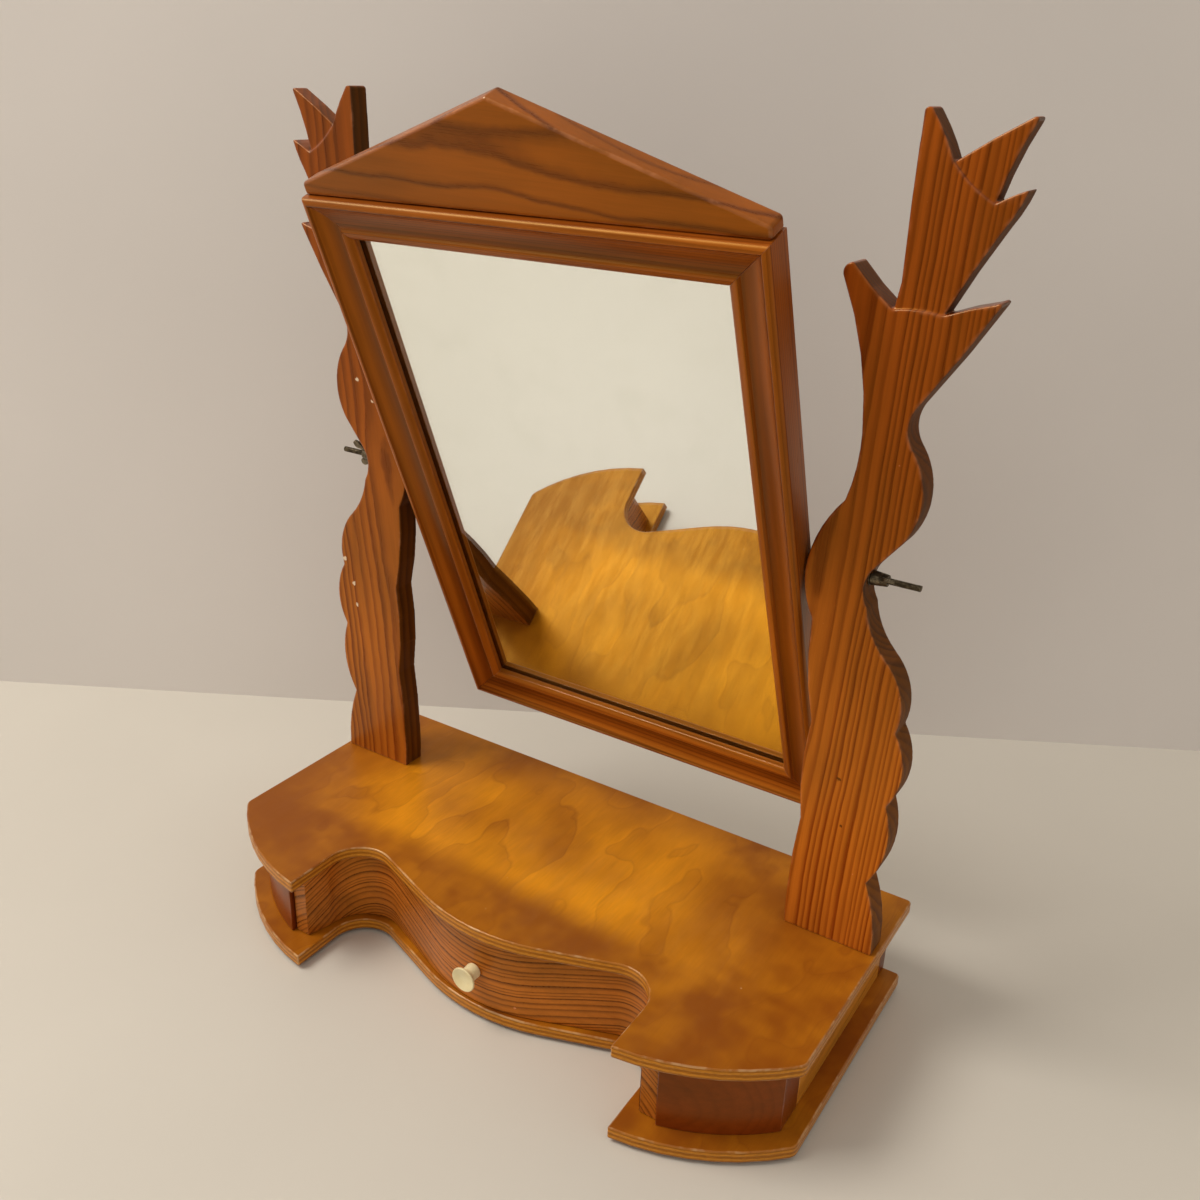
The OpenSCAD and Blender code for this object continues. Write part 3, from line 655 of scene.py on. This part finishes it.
def moulding_stain_and_shade(tree, place, edge, turn):
    """1 where the moulding is bare, and less on its step and in its cove up to the bead, where stain gathers and
    shade is painted into the crease and the hollow.
    """
    sockets = {"Vector": place, "Location": edge, "Rotation": turn}
    inward = tree.add("ShaderNodeMapping", sockets, vector_type="TEXTURE").outputs[0]
    inward = tree.math("DIVIDE", tree.part(inward, "X"), MM)
    # Millimetres from the moulding's outer edge to its step, to the middle of its cove and to its bead
    step_at, cove_at, bead_at = 4.7, 16.0, 20.0
    step = tree.ramp(tree.math("ABSOLUTE", tree.math("SUBTRACT", inward, step_at)), 0.2, 1.1, 0.2, 1.0)
    cove = tree.ramp(tree.math("ABSOLUTE", tree.math("SUBTRACT", inward, cove_at)), 1.5, 9.0, 0.25, 1.0)
    bead = tree.ramp(inward, bead_at, bead_at + 1.5, 0.0, 0.7)
    shade = tree.times(step, cove)
    return tree.plus(shade, tree.times(bead, tree.math("SUBTRACT", 1.0, shade)))


def wood(kind, node, tone, pith, turn, strength=1.0, ring=1.0, wander=3.0, late=0.5, contrast=1.0, drift=2.4,
         wave=0.24, gloss=0.02, scuffs=0.6, section=None, top_shade=0.0, sideways=0.0, marks=()):
    """Pine for a node, in a tone of the settings. pith is on the trunk's axis, and turn carries Z to the grain."""
    light, dark = ([c * strength for c in getattr(timber(), f"{tone}_{part}")] for part in ("light", "dark"))
    material, tree, shader, place = start_material(f"{kind}, {node}")
    sockets = {"Vector": place, "Location": pith, "Rotation": turn}
    trunk = tree.add("ShaderNodeMapping", sockets, vector_type="TEXTURE").outputs[0]
    pine = group_node(tree, "Pine", {
        "Vector": trunk, "Light": light, "Dark": dark, "Ring": timber().ring * ring, "Wander": wander * MM,
        "Late share": late, "Contrast": contrast, "Drift": drift, "Wave": (1, 1, wave)})
    # Bare wood where the varnish is off
    pale = [min(1.0, c * 1.5 + 0.10) for c in light]
    colour = pine["Color"]
    # On a moulding, the step and the cove are darkened by stain and by painted shade
    if section:
        stained = tree.mix(1.0, colour, (0.42, 0.28, 0.22), "MULTIPLY")
        colour = tree.mix(moulding_stain_and_shade(tree, place, *section), stained, colour)
    # Painted shade: darker and redder towards the top
    if top_shade:
        colour = painted_shade_to_top(tree, place, colour, top_shade)
    rough = pine["Roughness"]
    if sideways:
        # Painted shade: the faces that look sideways are darkened as if in shade, and they get less gloss
        ends = tree.times(tree.ramp(looks_along(tree, "X"), 0.35, 0.85), sideways)
        colour = tree.scaled(colour, tree.math("SUBTRACT", 1.0, tree.times(ends, SIDE_SHADE)))
        rough = tree.plus(rough, tree.times(ends, SIDE_ROUGH))
    colour = marked(tree, place, colour, marks)
    colour, chips = scuffed(tree, place, colour, scuffs, pale)
    rough = tree.plus(rough, tree.times(chips, CHIP_ROUGH))
    cover(tree, shader, colour, rough, pine["Height"], 0.10 * MM, 0.6)
    varnish(tree, shader, gloss)
    return material


ALONG_X = (0, math.radians(90), 0)
ALONG_Y = (math.radians(-90), 0, 0)
ALONG_Z = (0, 0, 0)


def turned(base, *more):
    """An Euler turn that carries Z to the grain and then turns it by small angles about X, Y and Z."""
    turn = Matrix.Identity(3)
    for axis, degrees in more:
        turn = Matrix.Rotation(math.radians(degrees), 3, axis) @ turn
    return tuple((turn @ Euler(base).to_matrix()).to_euler())


def plywood(node):
    """Varnished birch plywood for a board: golden in the middle under a painted pool of light, brown at its ends and
    front in painted shade.
    """
    low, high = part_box(node)
    material, tree, shader, place = start_material(f"Plywood, {node}")
    colours = timber()
    veneer_place = tree.vector("ADD", place, (0.37, 0.61, low.z))
    veneer = group_node(tree, "Birch veneer", {
        "Vector": veneer_place, "Light": colours.birch_light, "Dark": colours.birch_dark})
    # Painted light: the golden middle is a pool of light from the mirror above, and the ends and the front are
    # darkened towards birch dark as painted shade, broken into patches. The pool lies about a point 25 mm left of the
    # middle
    spread = tree.vector("ADD", place, (25 * MM, 0, 0))
    spread = tree.vector("DIVIDE", spread, (high.x * 1.02, high.y * 1.25, 1))
    ends = tree.ramp(tree.length(tree.stretched(spread, (1, 1, 0))), 0.35, 1.0, 0.0, 0.95)
    front = tree.ramp(tree.part(place, "Y"), -0.028, -0.062, 0.0, 0.95)
    patches = tree.ramp(tree.noise(veneer_place, 17, 3.0, 0.6), 0.32, 0.64, 0.5, 1.0)
    ends = tree.times(tree.math("MAXIMUM", ends, front), patches)
    face = tree.mix(ends, veneer["Color"], colours.birch_dark)
    edge = group_node(tree, "Ply edge", {
        "Vector": place, "Under": low.z, "Thickness": high.z - low.z, "Plies": 5.0,
        "Light": colours.ply_light, "Dark": colours.ply_dark})
    sideways = tree.ramp(looks_along(tree, "Z"), 0.35, 0.75, 1.0, 0.0)
    colour = tree.mix(sideways, face, edge["Color"])
    colour, chips = scuffed(tree, place, colour, 0.9, (0.72, 0.50, 0.26))
    grain = tree.noise(tree.stretched(place, (1, 0.2, 1)), 150, 3.0, 0.6)
    rough = tree.plus(tree.ramp(grain, 0.3, 0.7, 0.30, 0.42), tree.times(chips, CHIP_ROUGH))
    relief = tree.plus(tree.times(veneer["Height"], 0.3), tree.times(tree.times(edge["Height"], sideways), 1.5))
    cover(tree, shader, colour, rough, relief, 0.12 * MM, 0.7)
    varnish(tree, shader, 0.0)
    return material


def hardboard():
    """Pressed fibre panel, smooth but mottled."""
    material, tree, shader, place = start_material("Hardboard")
    fine = tree.noise(place, 900, 4.0, 0.7)
    broad = tree.noise(place, 18, 3.0)
    shade = tree.times(tree.ramp(fine, 0.25, 0.75, 0.75, 1.25), tree.ramp(broad, 0.3, 0.7, 0.88, 1.12))
    rough = tree.ramp(fine, 0.2, 0.8, 0.55, 0.75)
    cover(tree, shader, tree.scaled(timber().board_brown, shade), rough, fine, 0.08 * MM, 0.6)
    return material


def browned_steel():
    """Dull brown steel with lighter rubbed spots."""
    material, tree, shader, place = start_material("Browned steel")
    patches = tree.noise(place, 320, 4.0, 0.65)
    colour = tree.mix(tree.ramp(patches, 0.35, 0.68), (0.075, 0.055, 0.033), (0.21, 0.165, 0.10))
    cover(tree, shader, colour, tree.ramp(patches, 0.3, 0.7, 0.52, 0.34), patches, 0.04 * MM, 0.5)
    shader.inputs["Metallic"].default_value = 0.9
    return material


def knob_plastic():
    """Cream plastic, a little yellowed and rubbed."""
    material, tree, shader, place = start_material("Cream plastic")
    broad = tree.noise(place, 110, 3.0)
    colour = tree.mix(tree.ramp(broad, 0.3, 0.72), (0.86, 0.75, 0.45), (0.78, 0.64, 0.34))
    fine = tree.noise(place, 1500, 2.0)
    cover(tree, shader, colour, tree.ramp(broad, 0.3, 0.7, 0.26, 0.36), fine, 0.02 * MM, 0.4)
    return material


def foot_rubber():
    """Matt black rubber with a fine grain."""
    material, tree, shader, place = start_material("Foot rubber")
    fine = tree.noise(place, 1600, 3.0)
    colour = tree.mix(fine, (0.012, 0.011, 0.010), (0.035, 0.032, 0.03))
    cover(tree, shader, colour, tree.ramp(fine, 0.2, 0.8, 0.6, 0.8), fine, 0.06 * MM)
    return material


def clear_glass():
    """Clear glass."""
    material, _, shader, _ = start_material("Clear glass")
    shader.inputs["Roughness"].default_value = 0.0
    shader.inputs["Base Color"].default_value = (0.97, 0.985, 0.975, 1)
    shader.inputs["Transmission Weight"].default_value = 1.0
    shader.inputs["IOR"].default_value = 1.5
    return material


def silvering():
    """The reflecting layer behind the glass, slightly clouded in patches."""
    material, tree, shader, place = start_material("Silvering")
    cloud = tree.noise(place, 30, 4.0, 0.65)
    colour = tree.mix(tree.ramp(cloud, 0.45, 0.8), (0.93, 0.93, 0.91), (0.90, 0.90, 0.87))
    tree.feed(shader.inputs["Base Color"], colour)
    tree.feed(shader.inputs["Roughness"], tree.ramp(cloud, 0.5, 0.85, 0.0, 0.02))
    shader.inputs["Metallic"].default_value = 1.0
    return material


class MIRROR_OT_finishes(bpy.types.Operator):
    """Make the shader groups and the hardboard that several pieces share"""

    bl_idname = "dressing_mirror.finishes"
    bl_label = "Finishes"

    def execute(self, context):
        make_pine_group()
        make_birch_group()
        make_ply_group()
        make_scuff_group()
        hardboard()
        return {"FINISHED"}


class MIRROR_OT_boards(bpy.types.Operator):
    """Make the two serpentine plywood boards"""

    bl_idname = "dressing_mirror.boards"
    bl_label = "Boards"

    def execute(self, context):
        for node in ("top_board", "bottom_board"):
            dress(node, shape().board_round, plywood(node))
        return {"FINISHED"}


class MIRROR_OT_carcass(bpy.types.Operator):
    """Make the end blocks, walls and guides between the boards"""

    bl_idname = "dressing_mirror.carcass"
    bl_label = "Carcass"

    def execute(self, context):
        for side, sign in (("left", -1), ("right", 1)):
            block = f"{side}_end_block"
            low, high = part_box(block)
            pith = (low.x + sign * 9 * MM, low.y - 34 * MM, low.z + 20 * MM)
            look = wood("Stained pine", block, "block", pith, turned(ALONG_X, ("Z", 4)), ring=1.7, wander=9,
                        contrast=0.3)
            dress(block, shape().drawer_round, look)
            wall = f"{side}_side_wall"
            low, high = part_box(wall)
            pith = ((low.x + high.x) / 2 - sign * 30 * MM, 0, low.z + 24 * MM)
            look = wood("Stained pine", wall, "ply", pith, turned(ALONG_Y, ("Z", 2)), ring=1.2, wander=6,
                        contrast=0.8)
            dress(wall, shape().drawer_round, look)
            guide = f"{side}_drawer_guide"
            look = wood("Planed pine", guide, "plain", (low.x, 0, low.z - 60 * MM), ALONG_Y, gloss=0.0, scuffs=0.2)
            dress(guide, shape().drawer_round, look)
        low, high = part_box("back_wall")
        look = wood("Stained pine", "back_wall", "block", (0, high.y - 26 * MM, low.z + 18 * MM),
                    turned(ALONG_X, ("Z", 1.5)), ring=1.4, wander=7, contrast=0.8)
        dress("back_wall", shape().drawer_round, look)
        return {"FINISHED"}


class MIRROR_OT_feet(bpy.types.Operator):
    """Make the rubber feet"""

    bl_idname = "dressing_mirror.feet"
    bl_label = "Feet"

    def execute(self, context):
        dress("base_feet", shape().metal_round, foot_rubber())
        return {"FINISHED"}


# Marks on the posts' fronts: place along X and Z and radius in millimetres, and colour
PALE_CHIP = (0.78, 0.62, 0.42)
KNOT = (0.06, 0.012, 0.002)
POST_CHIPS = ((-225, 247, 2.2, PALE_CHIP), (-216, 228, 1.8, PALE_CHIP), (-214, 210, 1.6, PALE_CHIP),
              (-201, 393, 1.8, PALE_CHIP), (-187, 379, 1.2, PALE_CHIP))
POST_KNOTS = ((195, 199, 1.9, KNOT), (200, 166, 1.1, KNOT))


class MIRROR_OT_posts(bpy.types.Operator):
    """Make the two fretted posts"""

    bl_idname = "dressing_mirror.posts"
    bl_label = "Posts"

    def execute(self, context):
        # Ring width, the pith's depth behind the post, how far and how quickly its rings wander, how its grain leans,
        # and how strong its colours are
        grown = {"left": (2.0, 26, 13, 0.55, -4.5, 0.84), "right": (1.25, 15, 6, 0.34, 2.5, 1.0)}
        for side, sign in (("left", -1), ("right", 1)):
            ring, behind, wander, wave, lean, strength = grown[side]
            node = f"{side}_post"
            low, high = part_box(node)
            inner = low.x if sign > 0 else high.x
            pith = (inner - sign * 4 * MM, high.y + behind * MM, low.z)
            face = low.y
            marks = POST_KNOTS if sign > 0 else POST_CHIPS
            marks = [((x * MM, face, z * MM), radius * MM, tint) for x, z, radius, tint in marks]
            # Painted shade: the posts get darker and redder towards the top, and darker on their side faces
            look = wood("Varnished pine", node, "post", pith, turned(ALONG_Z, ("X", 0.4), ("Y", lean)), strength,
                        ring, wander, late=0.72, contrast=0.95, wave=wave, top_shade=1.0, sideways=1.0, marks=marks)
            piece = sanded_copy(node, shape().post_cell, shape().post_passes, share=0.15)
            settle(piece, node, look)
        return {"FINISHED"}


class MIRROR_OT_drawer(bpy.types.Operator):
    """Make the drawer's front, sides, back and bottom"""

    bl_idname = "dressing_mirror.drawer"
    bl_label = "Drawer"

    def execute(self, context):
        low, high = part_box("drawer_front")
        look = wood("Varnished pine", "drawer_front", "drawer", (0, high.y + 70 * MM, low.z - 170 * MM),
                    turned(ALONG_X, ("Y", 0.5)), ring=1.35, wander=4.5)
        dress("drawer_front", shape().drawer_round, look)
        for side, sign in (("left", -1), ("right", 1)):
            node = f"drawer_{side}_side"
            low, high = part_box(node)
            pith = (low.x - sign * 60 * MM, 0, low.z - 55 * MM)
            look = wood("Varnished pine", node, "drawer", pith, turned(ALONG_Y, ("X", 0.5)), ring=1.35, late=0.42)
            dress(node, shape().drawer_round, look)
        low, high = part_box("drawer_back")
        look = wood("Planed pine", "drawer_back", "plain", (0, high.y + 30 * MM, low.z - 50 * MM), ALONG_X,
                    gloss=0.0, scuffs=0.2)
        dress("drawer_back", shape().drawer_round, look)
        dress("drawer_bottom", shape().metal_round, bpy.data.materials["Hardboard"])
        return {"FINISHED"}


def swept(name, points, axis, steps, capped=False, **settings):
    """A solid that the Screw modifier sweeps from a line of points, welded, with its ends closed if need be."""
    mesh = bpy.data.meshes.new(name)
    mesh.from_pydata(points, [(i, i + 1) for i in range(len(points) - 1)], [])
    piece = bpy.data.objects.new(name, mesh)
    bpy.context.scene.collection.objects.link(piece)
    sweep = piece.modifiers.new("Sweep", "SCREW")
    sweep.axis = axis
    sweep.steps = sweep.render_steps = steps
    sweep.use_merge_vertices = True
    sweep.merge_threshold = WELD
    for key, value in settings.items():
        setattr(sweep, key, value)
    apply_modifier(piece, sweep)
    bpy.ops.object.mode_set(mode="EDIT")
    bpy.ops.mesh.select_all(action="SELECT")
    bpy.ops.mesh.remove_doubles(threshold=WELD)
    if capped:
        bpy.ops.mesh.select_all(action="DESELECT")
        bpy.ops.mesh.select_non_manifold()
        bpy.ops.mesh.edge_face_add()
        bpy.ops.mesh.select_all(action="SELECT")
    bpy.ops.mesh.normals_make_consistent(inside=False)
    bpy.ops.object.mode_set(mode="OBJECT")
    return piece


def turned_knob(node):
    """The knob turned about its axis: a stout stem, a thin flared rim and a shallow dish."""
    low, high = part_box(node)
    radius = (high.x - low.x) / 2
    out = high.y - low.y
    play = 0.15 * MM
    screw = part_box("knob_screw")[1].x + play
    hole = high.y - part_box("knob_screw")[0].y + play
    # Distance from the drawer and distance from the axis
    profile = [(hole, 0), (hole, screw), (0, screw), (0, 0.54 * radius), (0.03 * out, 0.60 * radius),
               (0.10 * out, 0.63 * radius), (0.52 * out, 0.59 * radius), (0.66 * out, 0.61 * radius),
               (0.76 * out, 0.74 * radius), (0.84 * out, 0.92 * radius), (0.90 * out, 0.99 * radius),
               (0.95 * out, radius), (0.99 * out, 0.98 * radius), (out, 0.94 * radius), (0.985 * out, 0.88 * radius),
               (0.94 * out, 0.66 * radius), (0.93 * out, 0.60 * radius), (0.90 * out, 0.52 * radius), (0.89 * out, 0)]
    piece = swept(node + "_shown", [(r, -t, 0) for t, r in profile], "Y", 64)
    piece.data.transform(Matrix.Translation(((low.x + high.x) / 2, high.y, (low.z + high.z) / 2)))
    bpy.ops.object.shade_smooth_by_angle(angle=math.radians(40))
    return piece


class MIRROR_OT_knob(bpy.types.Operator):
    """Make the dished plastic knob"""

    bl_idname = "dressing_mirror.knob"
    bl_label = "Knob"

    def execute(self, context):
        settle(turned_knob("drawer_knob"), "drawer_knob", knob_plastic())
        return {"FINISHED"}


def up_the_frame(place):
    """How far up the leaning frame a place lies, from the pivot."""
    return (Matrix.Rotation(-LEAN, 3, "X") @ (place - PIVOT)).z


class MIRROR_OT_frame(bpy.types.Operator):
    """Make the mitred moulding of the frame"""

    bl_idname = "dressing_mirror.frame"
    bl_label = "Moulded frame"

    def execute(self, context):
        for node, sign in (("frame_left_stile", -1), ("frame_right_stile", 1)):
            pith = leaning(sign * 0.17, 0, 0.06)
            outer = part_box(node)[sign > 0].x
            # Painted shade: darker and redder towards the top, and stain with painted shade on the step and in the
            # cove
            look = wood("Varnished pine", node, "frame", pith, turned(ALONG_Z, ("X", math.degrees(LEAN))),
                        ring=0.8, contrast=0.75, top_shade=0.6,
                        section=((outer, 0, 0), (0, 0, math.pi if sign > 0 else 0)))
            dress(node, shape().frame_round, look)
        for node, sign in (("frame_bottom_rail", -1), ("frame_top_rail", 1)):
            low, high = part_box(node)
            pith = (0, (low.y + high.y) / 2 + 50 * MM, (low.z + high.z) / 2 - 40 * MM)
            outer = max((v.co for v in frame["nodes"][node].data.vertices), key=lambda p: sign * up_the_frame(p))
            # Painted shade: darker and redder towards the top, and stain with painted shade on the step and in the
            # cove
            look = wood("Varnished pine", node, "frame", pith, turned(ALONG_X, ("Z", 0.4)),
                        ring=0.8, wander=3.5, contrast=0.75, top_shade=0.6,
                        section=(outer, turned((0, math.radians(sign * 90), 0), ("X", math.degrees(LEAN)))))
            dress(node, shape().frame_round, look)
        return {"FINISHED"}


class MIRROR_OT_pediment(bpy.types.Operator):
    """Make the flat-sawn pediment"""

    bl_idname = "dressing_mirror.pediment"
    bl_label = "Pediment"

    def execute(self, context):
        # The pith runs behind the middle of the figure's dark island and slopes down to the right
        pith = leaning(-28 * MM, 256 * MM, 17 * MM)
        slope = turned(ALONG_X, ("Y", 3.0), ("Z", -1.2), ("X", math.degrees(LEAN)))
        # Painted shade: darker and redder towards the top
        look = wood("Varnished pine", "pediment", "gable", pith, slope, ring=4.04, wander=9, late=0.26, drift=0.0,
                    wave=0.9, top_shade=0.5)
        dress("pediment", shape().gable_round, look)
        return {"FINISHED"}


def slab(name, size, lift):
    """A slab in the leaning frame's axes: size across X, Y and Z, its front face at lift behind the glass's."""
    low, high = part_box("mirror_glass")
    lean = Matrix.Rotation(LEAN, 4, "X")
    centre = (low + high) / 2
    bpy.ops.object.select_all(action="DESELECT")
    bpy.ops.mesh.primitive_cube_add(size=1)
    piece = bpy.context.object
    piece.name = name
    offset = Vector((0, lift + size[1] / 2 - glass_size()[1] / 2, 0))
    piece.data.transform(Matrix.Translation(centre) @ lean @ Matrix.Translation(offset) @ Matrix.Diagonal((*size, 1)))
    return piece


def glass_size():
    """Width, thickness and height of the glass in its own axes."""
    lean = Matrix.Rotation(-LEAN, 3, "X")
    points = [lean @ v.co for v in frame["nodes"]["mirror_glass"].data.vertices]
    return [max(p[i] for p in points) - min(p[i] for p in points) for i in range(3)]


class MIRROR_OT_glass(bpy.types.Operator):
    """Make the silvered glass and the panel behind it"""

    bl_idname = "dressing_mirror.glass"
    bl_label = "Glass and back panel"

    def execute(self, context):
        width, thick, height = glass_size()
        silver_t = shape().silver
        gap = 0.02 * MM
        clear = slab("mirror_glass_shown", (width, thick - silver_t - gap, height), 0.0)
        silver = slab("silver_layer", (width, silver_t, height), thick - silver_t)
        clear.data.materials.append(clear_glass())
        silver.data.materials.append(silvering())
        only(clear)
        silver.select_set(True)
        bpy.ops.object.join()
        grind = clear.modifiers.new("Ground edge", "BEVEL")
        grind.width = 0.04 * MM
        grind.segments = 1
        apply_modifier(clear, grind)
        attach(clear, "mirror")
        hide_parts("mirror_glass")
        dress("back_panel", shape().metal_round, bpy.data.materials["Hardboard"])
        return {"FINISHED"}


def threaded_rod(node):
    """A stud with a true thread, turned up from one pitch of its profile."""
    low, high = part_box(node)
    long, radius = high.x - low.x, (high.z - low.z) / 2
    pitch = shape().thread_pitch
    depth = shape().thread_depth
    turns = int(long / pitch) - 1
    crest = 0.12
    profile = [(0, radius - depth), (0.5 - crest, radius), (0.5 + crest, radius), (1, radius - depth)]
    piece = swept(node + "_shown", [(x * pitch, 0, r) for x, r in profile], "X", 20, capped=True,
                  screw_offset=pitch, iterations=turns)
    spare = long - (turns + 1) * pitch
    piece.data.transform(Matrix.Translation((low.x + spare / 2, PIVOT.y, PIVOT.z)))
    bpy.ops.object.shade_smooth_by_angle(angle=math.radians(30))
    return piece


class MIRROR_OT_hardware(bpy.types.Operator):
    """Make the studs, washers, wing nuts, screws and pins"""

    bl_idname = "dressing_mirror.hardware"
    bl_label = "Hardware"

    def execute(self, context):
        steel = browned_steel()
        for side in ("left", "right"):
            settle(threaded_rod(f"{side}_pivot_stud"), f"{side}_pivot_stud", steel)
            for part in ("wing_nut", "outer_washer", "spacer_washer"):
                dress(f"{side}_{part}", shape().metal_round, steel)
        for node in ("base_screws", "post_screws", "knob_screw", "panel_pins"):
            dress(node, shape().metal_round, steel)
        return {"FINISHED"}


def plain_plane(name, size, place, turn=(0, 0, 0)):
    """A flat sheet of the stage."""
    bpy.ops.object.select_all(action="DESELECT")
    bpy.ops.mesh.primitive_plane_add(size=size, location=place, rotation=turn)
    piece = bpy.context.object
    piece.name = name
    return piece


def stage_paint(name, colour, roughness, gloss):
    """Plain paint for the stage, not seen from behind."""
    material, tree, shader, place = start_material(name)
    mottle = tree.noise(place, 3.0, 2.0)
    tree.feed(shader.inputs["Base Color"], tree.scaled(colour, tree.ramp(mottle, 0.3, 0.7, 0.98, 1.02)))
    shader.inputs["Roughness"].default_value = roughness
    shader.inputs["Specular IOR Level"].default_value = gloss
    clear = tree.add("ShaderNodeBsdfTransparent")
    back = tree.add("ShaderNodeNewGeometry").outputs["Backfacing"]
    both = tree.add("ShaderNodeMixShader", {0: back, 1: shader.outputs[0], 2: clear.outputs[0]})
    output = next(n for n in material.node_tree.nodes if n.type == "OUTPUT_MATERIAL")
    tree.feed(output.inputs["Surface"], both.outputs[0])
    return material


def area_lamp(name, place, aim, size, power, colour):
    """A square lamp that looks at a point."""
    data = bpy.data.lights.new(name, "AREA")
    data.shape = "SQUARE"
    data.size = size
    data.energy = power
    data.color = colour
    lamp = bpy.data.objects.new(name, data)
    lamp.location = place
    lamp.rotation_euler = (Vector(aim) - Vector(place)).to_track_quat("-Z", "Y").to_euler()
    bpy.context.scene.collection.objects.link(lamp)


# Two points of the line where the wall meets the floor
WALL_FOOT = (Vector((-0.7098, 0.0013, 0)), Vector((0.3684, 0.6005, 0)))


class MIRROR_OT_stage(bpy.types.Operator):
    """Make the camera, the floor, the wall and the lamps"""

    bl_idname = "dressing_mirror.stage"
    bl_label = "Stage"

    def execute(self, context):
        stage = context.scene.mirror_stage
        data = bpy.data.cameras.new("view_camera")
        data.lens = stage.lens
        data.sensor_width = 36.0
        data.shift_x, data.shift_y = stage.shift
        data.clip_start = 0.01
        camera = bpy.data.objects.new("view_camera", data)
        a, e = stage.azimuth, stage.elevation
        sight = -Vector((math.sin(a) * math.cos(e), -math.cos(a) * math.cos(e), math.sin(e)))
        camera.rotation_mode = "QUATERNION"
        camera.rotation_quaternion = sight.to_track_quat("-Z", "Y") @ Quaternion((0, 0, 1), stage.roll)
        camera.location = stage.camera_at
        context.scene.collection.objects.link(camera)
        context.scene.camera = camera
        floor = plain_plane("floor", 8.0, (0, 0, 0))
        floor.data.materials.append(stage_paint("Pale table", stage.floor, roughness=0.42, gloss=0.5))
        along = WALL_FOOT[1] - WALL_FOOT[0]
        way = math.atan2(along.y, along.x)
        foot = WALL_FOOT[0] + along / 2
        tall = 6.0
        wall = plain_plane("wall", tall, (foot.x, foot.y, tall / 2), (math.radians(90), 0, way))
        wall.data.materials.append(stage_paint("Pale wall", stage.wall, roughness=0.6, gloss=0.25))
        area_lamp("key", stage.key_at, (0, 0, 0.2), stage.key_size, stage.key_power, stage.sky)
        world = bpy.data.worlds.new("pale_room")
        world.use_nodes = True
        context.scene.world = world
        back = world.node_tree.nodes["Background"]
        back.inputs["Color"].default_value = (*stage.sky, 1.0)
        back.inputs["Strength"].default_value = stage.sky_strength
        context.scene.view_settings.view_transform = "Standard"
        return {"FINISHED"}


class MIRROR_PT_panel(bpy.types.Panel):
    """Lists the steps and the settings"""

    bl_label = "Dressing-Table Mirror"
    bl_idname = "MIRROR_PT_panel"
    bl_space_type = "VIEW_3D"
    bl_region_type = "UI"
    bl_category = "Mirror"

    def draw(self, context):
        for step in STEPS:
            self.layout.operator(step.bl_idname)
        for group in (context.scene.mirror_timber, context.scene.mirror_shape, context.scene.mirror_stage):
            box = self.layout.box()
            for key in group.__annotations__:
                box.prop(group, key)


STEPS = (
    MIRROR_OT_finishes, MIRROR_OT_boards, MIRROR_OT_carcass, MIRROR_OT_feet, MIRROR_OT_posts, MIRROR_OT_drawer,
    MIRROR_OT_knob, MIRROR_OT_frame, MIRROR_OT_pediment, MIRROR_OT_glass, MIRROR_OT_hardware, MIRROR_OT_stage,
)
CLASSES = (MirrorTimberSettings, MirrorShapeSettings, MirrorStageSettings, *STEPS, MIRROR_PT_panel)


def register():
    for cls in CLASSES:
        bpy.utils.register_class(cls)
    bpy.types.Scene.mirror_timber = PointerProperty(type=MirrorTimberSettings)
    bpy.types.Scene.mirror_shape = PointerProperty(type=MirrorShapeSettings)
    bpy.types.Scene.mirror_stage = PointerProperty(type=MirrorStageSettings)


def unregister():
    del bpy.types.Scene.mirror_stage
    del bpy.types.Scene.mirror_shape
    del bpy.types.Scene.mirror_timber
    for cls in reversed(CLASSES):
        bpy.utils.unregister_class(cls)


def main():
    """Builds everything in order."""
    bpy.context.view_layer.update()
    register()
    for step in STEPS:
        group, name = step.bl_idname.split(".")
        getattr(getattr(bpy.ops, group), name)()


if __name__ == "__main__":
    main()
